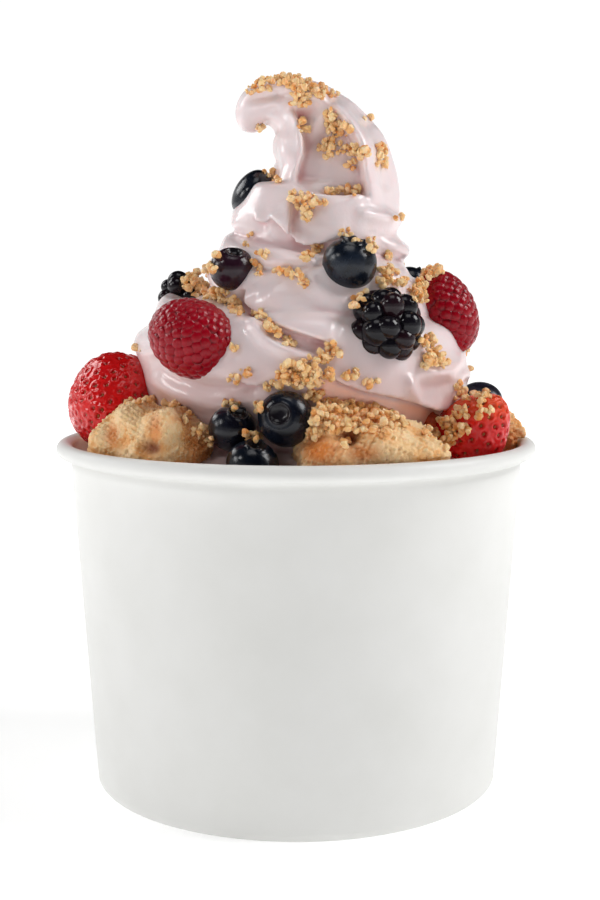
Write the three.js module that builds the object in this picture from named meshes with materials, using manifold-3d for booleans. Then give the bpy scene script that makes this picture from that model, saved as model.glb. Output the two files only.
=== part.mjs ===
// Frozen yogurt cup: a plain paper tub heaped with soft-serve frozen yogurt, cobbler chunks, berries
// and chopped nuts. Millimetres, +Z up. The origin is the centre of the cup's base on the surface that
// the cup stands on, and the front of the cup looks along -Y. A bearing is counted in degrees from the
// front, positive towards +X.

import * as THREE from "three";
import { mergeVertices } from "three/addons/utils/BufferGeometryUtils.js";
import Module from "manifold-3d";

const wasm = await Module();
wasm.setup();

// ---------------------------------------------------------------- driving dimensions

// The gap between neighbours, and how much wider than the berry a plain socket is, so that its flat
// faces stay clear of the round berry, as a share of the berry's half width.
const CLEARANCE = 0.3;
const SOCKET_PLAINNESS = 0.07;

// Facets of the yogurt that differ by less than this are merged.
const SMOOTHING = 0.2;

const CUP = {
  height: 80.4,
  rimRadius: 56,
  rollWidth: 3.8,
  rollHeight: 3.6,
  rollInside: 2.9,
  rollAngles: [-110, 160],
  rollSteps: 6,
  baseRadius: 47.5,
  wallTopRadius: 52.75,
  paper: 0.6,
  footPaper: 1.8,
  recess: 7,
  segments: 48,
};

// The yogurt inside the cup, up to the level between the toppings.
const FILL = { wallLevel: 73.5, shoulderRadius: 40, shoulderLevel: 80, middleLevel: 84, segments: 32 };

// The rope of yogurt, wound clockwise as it rises. Turn 0 is the front of the widest coil, and each
// station holds a turn, the coil's reach from the heap's axis, its level and the rope's radius.
const ROPE = {
  stations: [
    [-1.0, 36.0, 85.0, 11.0],
    [-0.75, 38.0, 89.5, 11.5],
    [-0.5, 39.5, 93.0, 12.0],
    [-0.25, 40.0, 96.0, 12.6],
    [0.0, 40.0, 97.0, 12.0],
    [0.25, 40.0, 100.5, 13.0],
    [0.5, 38.0, 105.0, 12.2],
    [0.75, 32.5, 109.0, 10.8],
    [1.0, 30.0, 112.2, 10.2],
    [1.2, 25.0, 117.5, 9.6],
    [1.5, 22.5, 122.0, 8.8],
    [1.75, 21.0, 125.0, 8.8],
    [2.0, 20.5, 129.0, 8.8],
    [2.25, 20.4, 131.0, 8.6],
    [2.5, 15.0, 138.0, 6.8],
  ],
  lastTurn: 2.4,
  stepsPerTurn: 18,
  stepsPerPiece: 8,
  pointsPerRidge: 3,
  ridges: 7,
  ridgeDepth: 0.11,
  ridgeDrift: 0.9,
  tallness: 1.14,
};

// Above 1, the nozzle's ridges are narrower than the valleys between them.
const RIDGE_SHARPNESS = 1.4;

// The plain solid that the rope is wound round.
const CORE = { firstTurn: -0.8, turnStep: 0.4, depthInRope: 0.85, drop: 4, sides: 15 };

// The heap leans towards +X as it rises.
const LEAN = { level: 95, offset: 1.8, growth: 0.0028 };

// The peak that the last coil is drawn up into, as x, z and radius from its root to its drooping tip.
const PEAK = {
  spine: [
    [5.5, 122, 13],
    [7.5, 131, 16.5],
    [8.2, 138, 16.4],
    [7.2, 146, 14.6],
    [4.3, 152.0, 11.3],
    [-0.6, 156.5, 7.8],
    [-6.0, 157.7, 6.0],
    [-8.9, 156.5, 5.2],
    [-10.3, 154.2, 4.2],
    [-10.8, 151.0, 1.9],
  ],
  steps: 22,
  ridges: 5,
  pointsPerRidge: 3,
  ridgeDepth: 0.15,
  firstRidgeBearing: -40,
};

// Berries: where the middle lies (bearing, distance from the axis, level), half width, half height
// along its own axis, and the way that the crown or the tip points.
const BLUEBERRY_SEGMENTS = 9;
const BLUEBERRIES = [
  { at: [-2.8, 41.6, 88.6], half: [5.8, 5.3], crown: [-0.25, -0.92, 0.3] },
  { at: [-19.2, 40.2, 86.2], half: [5.0, 4.6], crown: [0.3, -0.5, 0.8] },
  { at: [-11.0, 46.0, 79.4], half: [5.5, 5.0], crown: [0.2, -0.3, 0.93] },
  { at: [24.7, 27.9, 120.6], half: [6.0, 5.6], crown: [0.1, -0.25, 0.96] },
  { at: [-34.4, 24.5, 119.5], half: [4.9, 4.7], crown: [0.1, -0.45, 0.88] },
  { at: [-78.8, 10.3, 137.0], half: [5.9, 4.0], crown: [0.8, 0.2, -0.55] },
  { at: [105.0, 46.5, 87.7], half: [5.6, 4.3], crown: [0.1, 0.6, -0.8] },
  { at: [104.0, 28.2, 115.9], half: [4.6, 4.3], crown: [0.7, 0.2, 0.68] },
  { at: [163.0, 29.0, 119.0], half: [5.6, 5.2], crown: [0.1, 0.4, 0.9] },
  { at: [-158.0, 45.0, 88.6], half: [5.6, 5.1], crown: [-0.2, 0.9, 0.4] },
  { at: [-141.0, 45.4, 87.0], half: [5.0, 4.6], crown: [-0.4, 0.5, 0.77] },
];

const RASPBERRIES = [
  { at: [-36.8, 36.4, 104.6], half: [8.5, 10.2], crown: [0.88, -0.25, -0.4] },
  { at: [72.3, 35.6, 110.2], half: [6.9, 10.1], crown: [0.42, -0.2, -0.88] },
  { at: [-166.0, 40.0, 103.5], half: [8.8, 9.4], crown: [-0.2, 0.85, -0.45] },
];

const BRAMBLES = [
  { at: [32.0, 36.0, 107.4], half: [8.2, 8.4], crown: [0.3, -0.9, -0.3] },
  { at: [-103.0, 27.2, 112.8], half: [6.2, 6.6], crown: [-0.6, -0.2, 0.75] },
  { at: [136.0, 35.0, 108.0], half: [7.8, 8.2], crown: [0.6, 0.7, -0.35] },
];

const STRAWBERRIES = [
  { at: [-80.2, 41.5, 88.0], half: [11.3, 11.5], crown: [0.0, -0.97, -0.25] },
  { at: [62.0, 45.2, 84.6], half: [7.6, 9.4], crown: [0.5, -0.5, 0.7] },
  { at: [170.0, 43.4, 86.6], half: [8.6, 10.2], crown: [0.3, 0.7, -0.65] },
];

const DRUPELETS = { raspberry: 52, bramble: 30, depth: 0.13, sharpness: 1.5 };
const STRAWBERRY_TAPER = 0.3;

// Cobbler chunks: bearing, distance from the axis and level of the middle, then the half sizes along
// the cup's wall, across it and upwards. Each seed gives a chunk its own lumps.
const COBBLER_CHUNKS = [
  { at: [-49.5, 41.0, 79.4], half: [17.6, 10.5, 11.8], seed: 103 },
  { at: [20.8, 41.0, 79.0], half: [16.9, 11.0, 11.8], seed: 102 },
  { at: [92.0, 47.4, 79.8], half: [8.0, 6.8, 7.6], seed: 67 },
  { at: [132.0, 41.5, 79.6], half: [14.0, 10.0, 11.4], seed: 14 },
  { at: [-170.0, 42.0, 76.0], half: [13.0, 9.6, 9.4], seed: 15 },
  { at: [-118.0, 41.5, 79.4], half: [14.5, 10.0, 11.8], seed: 16 },
];
const CRUST = {
  lumps: { count: 4, height: 0.05, pitch: 4, pitchSpread: 2 },
  crags: { count: 5, height: 0.03, pitch: 9, pitchSpread: 4 },
};

// Chopped nuts lie in loose groups: bearing, distance from the axis and level of the group's middle,
// its spread across and upwards, and how many of the largest nuts it holds.
const NUTS = {
  size: 2.1,
  unevenness: 0.25,
  lift: 0.35,
  fallSlope: 40,
  fallHeight: 45,
  groupReach: 9,
  spacing: 2.2,
  elbowRoom: 1.35,
  seed: 5,
  groups: [
    [-54, 7.3, 161.0, 4, 2, 3],
    [40, 6.8, 160.5, 4, 3, 3],
    [41, 11.8, 157.0, 3, 3, 2],
    [31, 13.5, 148.5, 4, 4, 4],
    [48, 19.0, 145.8, 3, 2, 1],
    [72, 20.5, 144.7, 1, 3, 1],
    [-34, 10.4, 140.5, 2, 1, 1],
    [8, 18.6, 133.2, 4, 3, 3],
    [36, 17.6, 136.6, 5, 1, 2],
    [47, 23.0, 125.0, 2, 2, 1],
    [-2, 26.2, 118.8, 4, 1, 2],
    [-22, 23.4, 121.0, 1, 2, 1],
    [-80, 27.0, 116.0, 3, 4, 2],
    [-59, 22.0, 113.0, 4, 3, 2],
    [-7, 34.0, 108.3, 5, 2, 2],
    [1, 39.0, 99.0, 4, 5, 4],
    [9, 37.3, 102.6, 3, 2, 1],
    [-3, 38.2, 94.7, 4, 2, 2],
    [49, 38.6, 101.6, 3, 4, 2],
    [49, 30.5, 116.0, 3, 2, 1],
    [60, 30.6, 118.0, 3, 2, 1],
    [14, 39.0, 92.0, 5, 2, 2],
    [22, 42.0, 91.0, 5, 2, 3],
    [32, 44.7, 90.0, 3, 2, 2],
    [55, 43.0, 87.0, 4, 3, 2],
    [-51, 47.0, 89.4, 5, 2, 2],
    [-17, 38.8, 96.7, 2, 1, 1],
    [150, 12.0, 150.0, 4, 4, 2],
    [-150, 16.0, 140.0, 4, 3, 2],
    [170, 20.0, 128.0, 5, 2, 1],
    [-120, 22.0, 126.0, 3, 3, 1],
    [110, 26.0, 124.0, 3, 2, 1],
    [150, 36.0, 113.0, 5, 3, 2],
    [-140, 36.0, 108.0, 6, 3, 2],
    [-178, 40.0, 97.0, 6, 3, 2],
    [-110, 40.0, 96.0, 4, 3, 1],
    [115, 41.0, 99.0, 4, 3, 1],
    [140, 44.0, 90.0, 5, 3, 2],
    [-120, 46.0, 90.0, 5, 3, 2],
  ],
};

// ---------------------------------------------------------------- small helpers

function degrees(angle) {
  return THREE.MathUtils.degToRad(angle);
}

function seededRandom(seed) {
  let state = seed >>> 0;
  return () => {
    state = (state + 0x6d2b79f5) >>> 0;
    let mixed = Math.imul(state ^ (state >>> 15), 1 | state);
    mixed = (mixed + Math.imul(mixed ^ (mixed >>> 7), 61 | mixed)) ^ mixed;
    return ((mixed ^ (mixed >>> 14)) >>> 0) / 4294967296;
  };
}

function leanAt(level) {
  const above = Math.max(0, level - LEAN.level);
  return LEAN.offset + LEAN.growth * above * above;
}

// A closed geometry as a solid that can be joined and cut.
function toSolid(geometry) {
  const bare = new THREE.BufferGeometry();
  bare.setAttribute("position", geometry.getAttribute("position"));
  bare.setIndex(geometry.getIndex());
  const merged = mergeVertices(bare, 1e-4);
  return new wasm.Manifold(
    new wasm.Mesh({
      numProp: 3,
      vertProperties: Float32Array.from(merged.attributes.position.array),
      triVerts: Uint32Array.from(merged.index.array),
    }),
  );
}

function toGeometry(solid) {
  const mesh = solid.getMesh();
  const positions = new Float32Array((mesh.vertProperties.length / mesh.numProp) * 3);
  for (let vertex = 0; vertex < positions.length / 3; vertex += 1) {
    for (let axis = 0; axis < 3; axis += 1) {
      positions[vertex * 3 + axis] = mesh.vertProperties[vertex * mesh.numProp + axis];
    }
  }
  const geometry = new THREE.BufferGeometry();
  geometry.setAttribute("position", new THREE.BufferAttribute(positions, 3));
  geometry.setIndex(new THREE.BufferAttribute(Uint32Array.from(mesh.triVerts), 1));
  geometry.computeVertexNormals();
  return geometry;
}

// A closed skin over rings of points, each end closed by a fan to the middle of its ring.
function skinOverRings(rings) {
  const count = rings[0].length;
  const points = rings.flat();
  const firstMiddle = points.length;
  const ends = [rings[0], rings[rings.length - 1]];
  for (const ring of ends) {
    const middle = new THREE.Vector3();
    ring.forEach((point) => middle.addScaledVector(point, 1 / count));
    points.push(middle);
  }
  const index = [];
  for (let row = 0; row + 1 < rings.length; row += 1) {
    for (let side = 0; side < count; side += 1) {
      const next = (side + 1) % count;
      const a = row * count + side;
      const b = row * count + next;
      index.push(a, b, a + count, b, b + count, a + count);
    }
  }
  const lastRow = (rings.length - 1) * count;
  for (let side = 0; side < count; side += 1) {
    const next = (side + 1) % count;
    index.push(firstMiddle, next, side);
    index.push(firstMiddle + 1, lastRow + side, lastRow + next);
  }
  const geometry = new THREE.BufferGeometry();
  geometry.setAttribute("position", new THREE.Float32BufferAttribute(points.flatMap((p) => p.toArray()), 3));
  geometry.setIndex(index);
  return geometry;
}

// A turned solid from radius and level pairs that start and end on the axis.
function turned(profile, segments) {
  const points = profile.map(([radius, level]) => new THREE.Vector2(radius, level));
  const geometry = new THREE.LatheGeometry(points, segments);
  geometry.rotateX(Math.PI / 2);
  return geometry;
}

// A point at a bearing, a distance from the cup's axis and a level.
function around(bearing, distance, level) {
  const angle = degrees(bearing);
  return new THREE.Vector3(distance * Math.sin(angle), -distance * Math.cos(angle), level);
}

// ---------------------------------------------------------------- the paper cup

function outerWallRadius(level) {
  const wallTop = CUP.height - CUP.rollHeight;
  return THREE.MathUtils.lerp(CUP.baseRadius, CUP.wallTopRadius, level / wallTop);
}

function innerWallRadius(level) {
  return outerWallRadius(level) - CUP.paper;
}

function cupGeometry() {
  const rollMiddle = [CUP.rimRadius - CUP.rollWidth / 2, CUP.height - CUP.rollHeight / 2];
  const footInner = CUP.baseRadius - CUP.footPaper;
  const profile = [
    [0, CUP.recess],
    [footInner, CUP.recess],
    [footInner, 0],
    [CUP.baseRadius, 0],
    [outerWallRadius(CUP.height / 2), CUP.height / 2],
    [CUP.wallTopRadius, CUP.height - CUP.rollHeight],
  ];
  const [rollStart, rollEnd] = CUP.rollAngles;
  for (let step = 0; step <= CUP.rollSteps; step += 1) {
    const angle = degrees(THREE.MathUtils.lerp(rollStart, rollEnd, step / CUP.rollSteps));
    const radius = rollMiddle[0] + (CUP.rollWidth / 2) * Math.cos(angle);
    const level = rollMiddle[1] + (CUP.rollHeight / 2) * Math.sin(angle);
    profile.push([radius, level]);
  }
  const innerTop = CUP.height - CUP.rollInside;
  const floorLevel = CUP.recess + CUP.paper;
  profile.push([innerWallRadius(innerTop), innerTop]);
  profile.push([innerWallRadius(floorLevel), floorLevel]);
  profile.push([0, floorLevel]);
  return turned(profile, CUP.segments);
}

// The room for what lies in the cup: inside the wall, and clear of the roll above it.
function roomInCup() {
  const floorLevel = CUP.recess + CUP.paper + CLEARANCE;
  const wallTop = CUP.height - CUP.rollHeight;
  const roof = 3 * CUP.height;
  const profile = [
    [0, floorLevel],
    [innerWallRadius(floorLevel) - CLEARANCE, floorLevel],
    [innerWallRadius(wallTop) - CLEARANCE, wallTop],
    [innerWallRadius(wallTop) - CLEARANCE, CUP.height + CLEARANCE],
    [CUP.rimRadius - CUP.rollWidth / 2, CUP.height + CLEARANCE],
    [CUP.rimRadius - CLEARANCE, CUP.height + CUP.rollHeight],
    [CUP.rimRadius - CLEARANCE, roof],
    [0, roof],
  ];
  return toSolid(turned(profile, CUP.segments));
}

// ---------------------------------------------------------------- the frozen yogurt

function fillSolid() {
  const floorLevel = CUP.recess + CUP.paper + CLEARANCE;
  const profile = [
    [0, floorLevel],
    [innerWallRadius(floorLevel) - CLEARANCE, floorLevel],
    [innerWallRadius(FILL.wallLevel) - CLEARANCE, FILL.wallLevel],
    [FILL.shoulderRadius, FILL.shoulderLevel],
    [FILL.shoulderRadius / 2, FILL.middleLevel],
    [0, FILL.middleLevel],
  ];
  return toSolid(turned(profile, FILL.segments));
}

// How far a star nozzle's section reaches at an angle: 1 on a ridge, less in the broad valleys.
function starReach(angle, ridges, depth) {
  const ridge = ((1 + Math.cos(ridges * angle)) / 2) ** RIDGE_SHARPNESS;
  return 1 - depth * (1 - ridge);
}

// The coil's reach, level and rope radius at a turn, on a smooth curve through the stations.
const ropeCurve = new THREE.CatmullRomCurve3(
  ROPE.stations.map(([, reach, level, radius]) => new THREE.Vector3(reach, level, radius)),
);

function coilAt(turn) {
  const turns = ROPE.stations.map((station) => station[0]);
  const last = turns.length - 1;
  const span = Math.min(last - 1, Math.max(0, turns.findLastIndex((start) => start <= turn)));
  const part = (turn - turns[span]) / (turns[span + 1] - turns[span]);
  const [reach, level, radius] = ropeCurve.getPoint((span + part) / last).toArray();
  return { reach, level, radius };
}

// One cross-section of the rope: a ridged ring round the point where the coil passes.
function ropeRing(turn) {
  const bearing = -360 * turn;
  const { reach, level, radius } = coilAt(turn);
  const middle = around(bearing, reach - radius, level);
  middle.x += leanAt(level);
  const outward = around(bearing, 1, 0);
  const upward = new THREE.Vector3(0, 0, 1);
  const ring = [];
  const count = ROPE.ridges * ROPE.pointsPerRidge;
  for (let step = 0; step < count; step += 1) {
    const angle = (2 * Math.PI * step) / count;
    const ridgeReach = radius * starReach(angle, ROPE.ridges, ROPE.ridgeDepth);
    const direction = angle + ROPE.ridgeDrift * turn;
    const point = middle.clone();
    point.addScaledVector(outward, ridgeReach * Math.cos(direction));
    point.addScaledVector(upward, ridgeReach * ROPE.tallness * Math.sin(direction));
    ring.push(point);
  }
  return ring;
}

// The rope as overlapping lengths, none long enough to meet itself.
function ropePieces() {
  const firstTurn = ROPE.stations[0][0];
  const steps = Math.round((ROPE.lastTurn - firstTurn) * ROPE.stepsPerTurn);
  const pieces = [];
  for (let start = 0; start < steps; start += ROPE.stepsPerPiece) {
    const rings = [];
    for (let step = start; step <= Math.min(steps, start + ROPE.stepsPerPiece); step += 1) {
      rings.push(ropeRing(firstTurn + step / ROPE.stepsPerTurn));
    }
    pieces.push(toSolid(skinOverRings(rings)));
  }
  return pieces;
}

// What the coils are wound round, so that the heap is solid.
function coreSolid() {
  const rings = [];
  for (let turn = CORE.firstTurn; turn <= ROPE.lastTurn; turn += CORE.turnStep) {
    const { reach, level, radius } = coilAt(turn);
    const ring = [];
    for (let side = 0; side < CORE.sides; side += 1) {
      const point = around((360 * side) / CORE.sides, reach - CORE.depthInRope * radius, level - CORE.drop);
      point.x += leanAt(level);
      ring.push(point);
    }
    rings.push(ring);
  }
  return toSolid(skinOverRings(rings));
}

function peakSolid() {
  const spine = new THREE.CatmullRomCurve3(PEAK.spine.map(([x, z]) => new THREE.Vector3(x, 0, z)));
  const girth = new THREE.CatmullRomCurve3(PEAK.spine.map(([, , r], i) => new THREE.Vector3(i, r, 0)));
  const count = PEAK.ridges * PEAK.pointsPerRidge;
  const rings = [];
  for (let step = 0; step <= PEAK.steps; step += 1) {
    const part = step / PEAK.steps;
    const middle = spine.getPoint(part);
    const along = spine.getTangent(part);
    const radius = girth.getPoint(part).y;
    const back = new THREE.Vector3(0, 1, 0);
    const side = new THREE.Vector3().crossVectors(back, along);
    const ring = [];
    for (let index = 0; index < count; index += 1) {
      const angle = (2 * Math.PI * index) / count;
      const bearing = angle + degrees(PEAK.firstRidgeBearing);
      const reach = radius * starReach(angle, PEAK.ridges, PEAK.ridgeDepth);
      const point = middle.clone();
      point.addScaledVector(side, reach * Math.sin(bearing));
      point.addScaledVector(back, -reach * Math.cos(bearing));
      ring.push(point);
    }
    rings.push(ring);
  }
  return toSolid(skinOverRings(rings));
}

// A solid without the hollows that joining sealed and without loose scraps: its largest body alone.
function largestBody(solid) {
  const bodies = solid.decompose().filter((body) => body.volume() > 0);
  bodies.sort((one, other) => other.volume() - one.volume());
  return bodies[0];
}

// ---------------------------------------------------------------- berries and cobbler

// Unit directions of an even ball of triangles, with shared corners.
function ballOfDirections(detail) {
  const ball = new THREE.IcosahedronGeometry(1, detail);
  ball.deleteAttribute("normal");
  ball.deleteAttribute("uv");
  return mergeVertices(ball, 1e-4);
}

// A ball whose every corner is moved to where a rule puts it.
function shapedBall(detail, placeFor) {
  const ball = ballOfDirections(detail);
  const corners = ball.getAttribute("position");
  const direction = new THREE.Vector3();
  for (let corner = 0; corner < corners.count; corner += 1) {
    direction.fromBufferAttribute(corners, corner).normalize();
    const place = placeFor(direction);
    corners.setXYZ(corner, place.x, place.y, place.z);
  }
  return ball;
}

// Turns a geometry so that its +Z end points along a direction, and moves it to its place.
function placed(geometry, at, pointing) {
  const turn = new THREE.Quaternion().setFromUnitVectors(
    new THREE.Vector3(0, 0, 1),
    new THREE.Vector3(...pointing).normalize(),
  );
  geometry.applyQuaternion(turn);
  geometry.translate(...around(...at).toArray());
  return geometry;
}

// Directions spread evenly over a ball.
function evenDirections(count) {
  const goldenAngle = Math.PI * (3 - Math.sqrt(5));
  return Array.from({ length: count }, (_, index) => {
    const height = 1 - (2 * index + 1) / count;
    const ring = Math.sqrt(1 - height * height);
    const bearing = goldenAngle * index;
    return new THREE.Vector3(ring * Math.cos(bearing), ring * Math.sin(bearing), height);
  });
}

// The plain egg shape round a berry, which cuts the socket that the berry sits in.
function berrySocketGeometry({ at, half, crown }) {
  const growth = CLEARANCE + SOCKET_PLAINNESS * half[0];
  const place = (direction) =>
    new THREE.Vector3(
      direction.x * (half[0] + growth),
      direction.y * (half[0] + growth),
      direction.z * (half[1] + growth),
    );
  return placed(shapedBall(1, place), at, crown);
}

function blueberryGeometry({ at, half, crown }) {
  const [width, height] = half;
  const profile = [[0, -height]];
  for (let rise = -50; rise <= 40; rise += 45) {
    profile.push([width * Math.cos(degrees(rise)), height * Math.sin(degrees(rise))]);
  }
  profile.push([width * 0.52, height * 0.86]);
  profile.push([width * 0.36, height * 0.99]);
  profile.push([width * 0.26, height * 0.84]);
  profile.push([0, height * 0.78]);
  return placed(turned(profile, BLUEBERRY_SEGMENTS), at, crown);
}

function drupeletBerryGeometry({ at, half, crown }, drupelets) {
  const middles = evenDirections(drupelets);
  const spacing = Math.sqrt((4 * Math.PI) / drupelets);
  const place = (direction) => {
    const nearest = Math.min(...middles.map((middle) => middle.angleTo(direction)));
    const bump = Math.cos(Math.min(1, nearest / spacing) * (Math.PI / 2)) ** DRUPELETS.sharpness;
    const reach = 1 - DRUPELETS.depth * (1 - bump);
    return new THREE.Vector3(
      direction.x * half[0] * reach,
      direction.y * half[0] * reach,
      direction.z * half[1] * reach,
    );
  };
  return placed(shapedBall(3, place), at, crown);
}

function strawberryGeometry({ at, half, crown }, growth = 0) {
  const place = (direction) => {
    const girth = (half[0] + growth) * (1 - STRAWBERRY_TAPER * direction.z);
    return new THREE.Vector3(direction.x * girth, direction.y * girth, direction.z * (half[1] + growth));
  };
  return placed(shapedBall(2, place), at, crown);
}

// A rough crust: broad lumps and finer crags on an egg-shaped chunk, different for every seed.
function cobblerGeometry({ at, half, seed }, growth = 0) {
  const random = seededRandom(seed);
  const waves = [CRUST.lumps, CRUST.crags].flatMap(({ count, height, pitch, pitchSpread }) =>
    Array.from({ length: count }, () => ({
      way: new THREE.Vector3(random() - 0.5, random() - 0.5, random() - 0.5).normalize(),
      pitch: pitch + pitchSpread * random(),
      phase: 2 * Math.PI * random(),
      height,
    })),
  );
  const place = (direction) => {
    let reach = 1;
    waves.forEach(({ way, pitch, phase, height }) => {
      reach += height * Math.sin(pitch * way.dot(direction) + phase);
    });
    return new THREE.Vector3(
      direction.x * (half[0] * reach + growth),
      direction.y * (half[1] * reach + growth),
      direction.z * (half[2] * reach + growth),
    );
  };
  const geometry = shapedBall(2, place);
  geometry.rotateZ(degrees(at[0]));
  geometry.translate(...around(...at).toArray());
  return geometry;
}

// ---------------------------------------------------------------- chopped nuts

// One uneven chip of nut with its middle at a place.
function nutSolid(place, random) {
  const uneven = () => 1 + NUTS.unevenness * (2 * random() - 1);
  const chip = new THREE.BoxGeometry(1, 1, 1);
  chip.deleteAttribute("normal");
  chip.deleteAttribute("uv");
  const block = mergeVertices(chip);
  const corners = block.getAttribute("position");
  for (let corner = 0; corner < corners.count; corner += 1) {
    corners.setX(corner, corners.getX(corner) * uneven());
    corners.setY(corner, corners.getY(corner) * uneven());
    corners.setZ(corner, corners.getZ(corner) * uneven());
  }
  block.scale(NUTS.size * uneven(), NUTS.size * uneven(), NUTS.size * uneven());
  block.rotateX(2 * Math.PI * random());
  block.rotateZ(2 * Math.PI * random());
  block.translate(place.x, place.y, place.z);
  return toSolid(block);
}

// Where a nut that falls onto its group comes to rest: the node it meets, and the middle of the nut.
function whereNutLands([bearing, distance, level, across, up], targets, random) {
  const slope = degrees(NUTS.fallSlope);
  const wanted = around(bearing, distance, level);
  const sideways = around(bearing + 90, 1, 0);
  const jitter = () => random() + random() - 1;
  const aim = wanted.clone().addScaledVector(sideways, across * jitter());
  aim.z += up * jitter();
  const upAndOut = around(bearing, Math.cos(slope), Math.sin(slope));
  const start = aim.clone().addScaledVector(upAndOut, NUTS.fallHeight);
  const [hit] = new THREE.Raycaster(start, upAndOut.clone().negate()).intersectObjects(targets);
  if (!hit || hit.point.distanceTo(wanted) > NUTS.groupReach) {
    return null;
  }
  const middle = hit.point.clone().addScaledVector(hit.face.normal, NUTS.lift);
  return { host: hit.object.name, middle };
}

// Nuts for every node that can carry them, each clear of all other nodes and of their nuts.
function scatterNuts(nodes, canCarry) {
  const random = seededRandom(NUTS.seed);
  const targets = nodes.map(({ name, solid }) => {
    const target = new THREE.Mesh(toGeometry(solid));
    target.name = name;
    return target;
  });
  const nuts = [];
  for (const group of NUTS.groups) {
    const count = group[5];
    for (let tries = 0, landed = 0; tries < 6 * count && landed < count; tries += 1) {
      const landing = whereNutLands(group, targets, random);
      if (!landing || !canCarry(landing.host)) {
        continue;
      }
      const solid = nutSolid(landing.middle, random);
      const place = landing.middle.toArray();
      const widened = solid.translate(place.map((value) => -value)).scale(NUTS.elbowRoom).translate(place);
      const crowded = nuts.some((nut) => nut.middle.distanceTo(landing.middle) < NUTS.spacing);
      const touching = nodes.some(
        (node) => node.name !== landing.host && !node.solid.intersect(widened).isEmpty(),
      );
      if (!crowded && !touching) {
        nuts.push({ ...landing, solid });
        landed += 1;
      }
    }
  }
  return nuts;
}

// ---------------------------------------------------------------- assembly

const part = new THREE.Group();

function addNode(name, geometry, color, roughness) {
  const material = new THREE.MeshStandardMaterial({ color, roughness, metalness: 0 });
  material.name = name;
  const mesh = new THREE.Mesh(geometry, material);
  mesh.name = name;
  part.add(mesh);
}

// Loose toppings with the sockets that they are pressed into.
const berries = [
  ...BLUEBERRIES.map((berry, index) => ({
    name: `blueberry_${index + 1}`,
    color: 0x1b2333,
    roughness: 0.45,
    solid: toSolid(blueberryGeometry(berry)),
    socket: toSolid(berrySocketGeometry(berry)),
  })),
  ...RASPBERRIES.map((berry, index) => ({
    name: `raspberry_${index + 1}`,
    color: 0xb3172c,
    roughness: 0.35,
    solid: toSolid(drupeletBerryGeometry(berry, DRUPELETS.raspberry)),
    socket: toSolid(berrySocketGeometry(berry)),
  })),
  ...BRAMBLES.map((berry, index) => ({
    name: `bramble_${index + 1}`,
    color: 0x16161c,
    roughness: 0.25,
    solid: toSolid(drupeletBerryGeometry(berry, DRUPELETS.bramble)),
    socket: toSolid(berrySocketGeometry(berry)),
  })),
  ...STRAWBERRIES.map((berry, index) => ({
    name: `strawberry_${index + 1}`,
    color: 0xc01f22,
    roughness: 0.3,
    solid: toSolid(strawberryGeometry(berry)),
    socket: toSolid(strawberryGeometry(berry, CLEARANCE)),
  })),
];
const chunks = COBBLER_CHUNKS.map((chunk, index) => ({
  name: `cobbler_chunk_${index + 1}`,
  color: 0xd79a4c,
  roughness: 0.85,
  solid: toSolid(cobblerGeometry(chunk)),
  socket: toSolid(cobblerGeometry(chunk, CLEARANCE)).hull(),
}));

const room = roomInCup();
const berryCutters = wasm.Manifold.union(berries.map((berry) => berry.socket));
const chunkCutters = wasm.Manifold.union(chunks.map((chunk) => chunk.socket));

const swirl = wasm.Manifold.union([coreSolid(), peakSolid(), ...ropePieces()]);
const heap = swirl.add(fillSolid()).simplify(SMOOTHING);
const yogurt = {
  name: "frozen_yogurt",
  color: 0xe8cfd4,
  roughness: 0.4,
  solid: largestBody(heap.subtract(berryCutters).subtract(chunkCutters)),
};
for (const chunk of chunks) {
  chunk.solid = largestBody(chunk.solid.intersect(room).subtract(berryCutters));
}

const contents = [yogurt, ...berries, ...chunks];
const nuts = scatterNuts(contents, (name) => /^(frozen_yogurt|cobbler_chunk|strawberry)/.test(name));
for (const node of contents) {
  const carried = nuts.filter((nut) => nut.host === node.name).map((nut) => nut.solid);
  if (carried.length > 0) {
    node.solid = largestBody(wasm.Manifold.union([node.solid, ...carried]));
  }
}

addNode("cup", cupGeometry(), 0xf2f2ee, 0.55);
for (const { name, color, roughness, solid } of contents) {
  addNode(name, toGeometry(solid), color, roughness);
}

export default part;
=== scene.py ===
"""Looks of the frozen yogurt cup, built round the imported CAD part, in metres and in the same frame.

Sizes are millimetres, as in the part's source, and MM turns them into metres when a mesh is made. A
bearing is counted in degrees from the front (-Y), positive towards +X. Places in the photograph are
its pixels, counted from its top left corner.
"""

import math

import bmesh
import bpy
import numpy as np
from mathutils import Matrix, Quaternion, Vector
from mathutils.bvhtree import BVHTree


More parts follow.
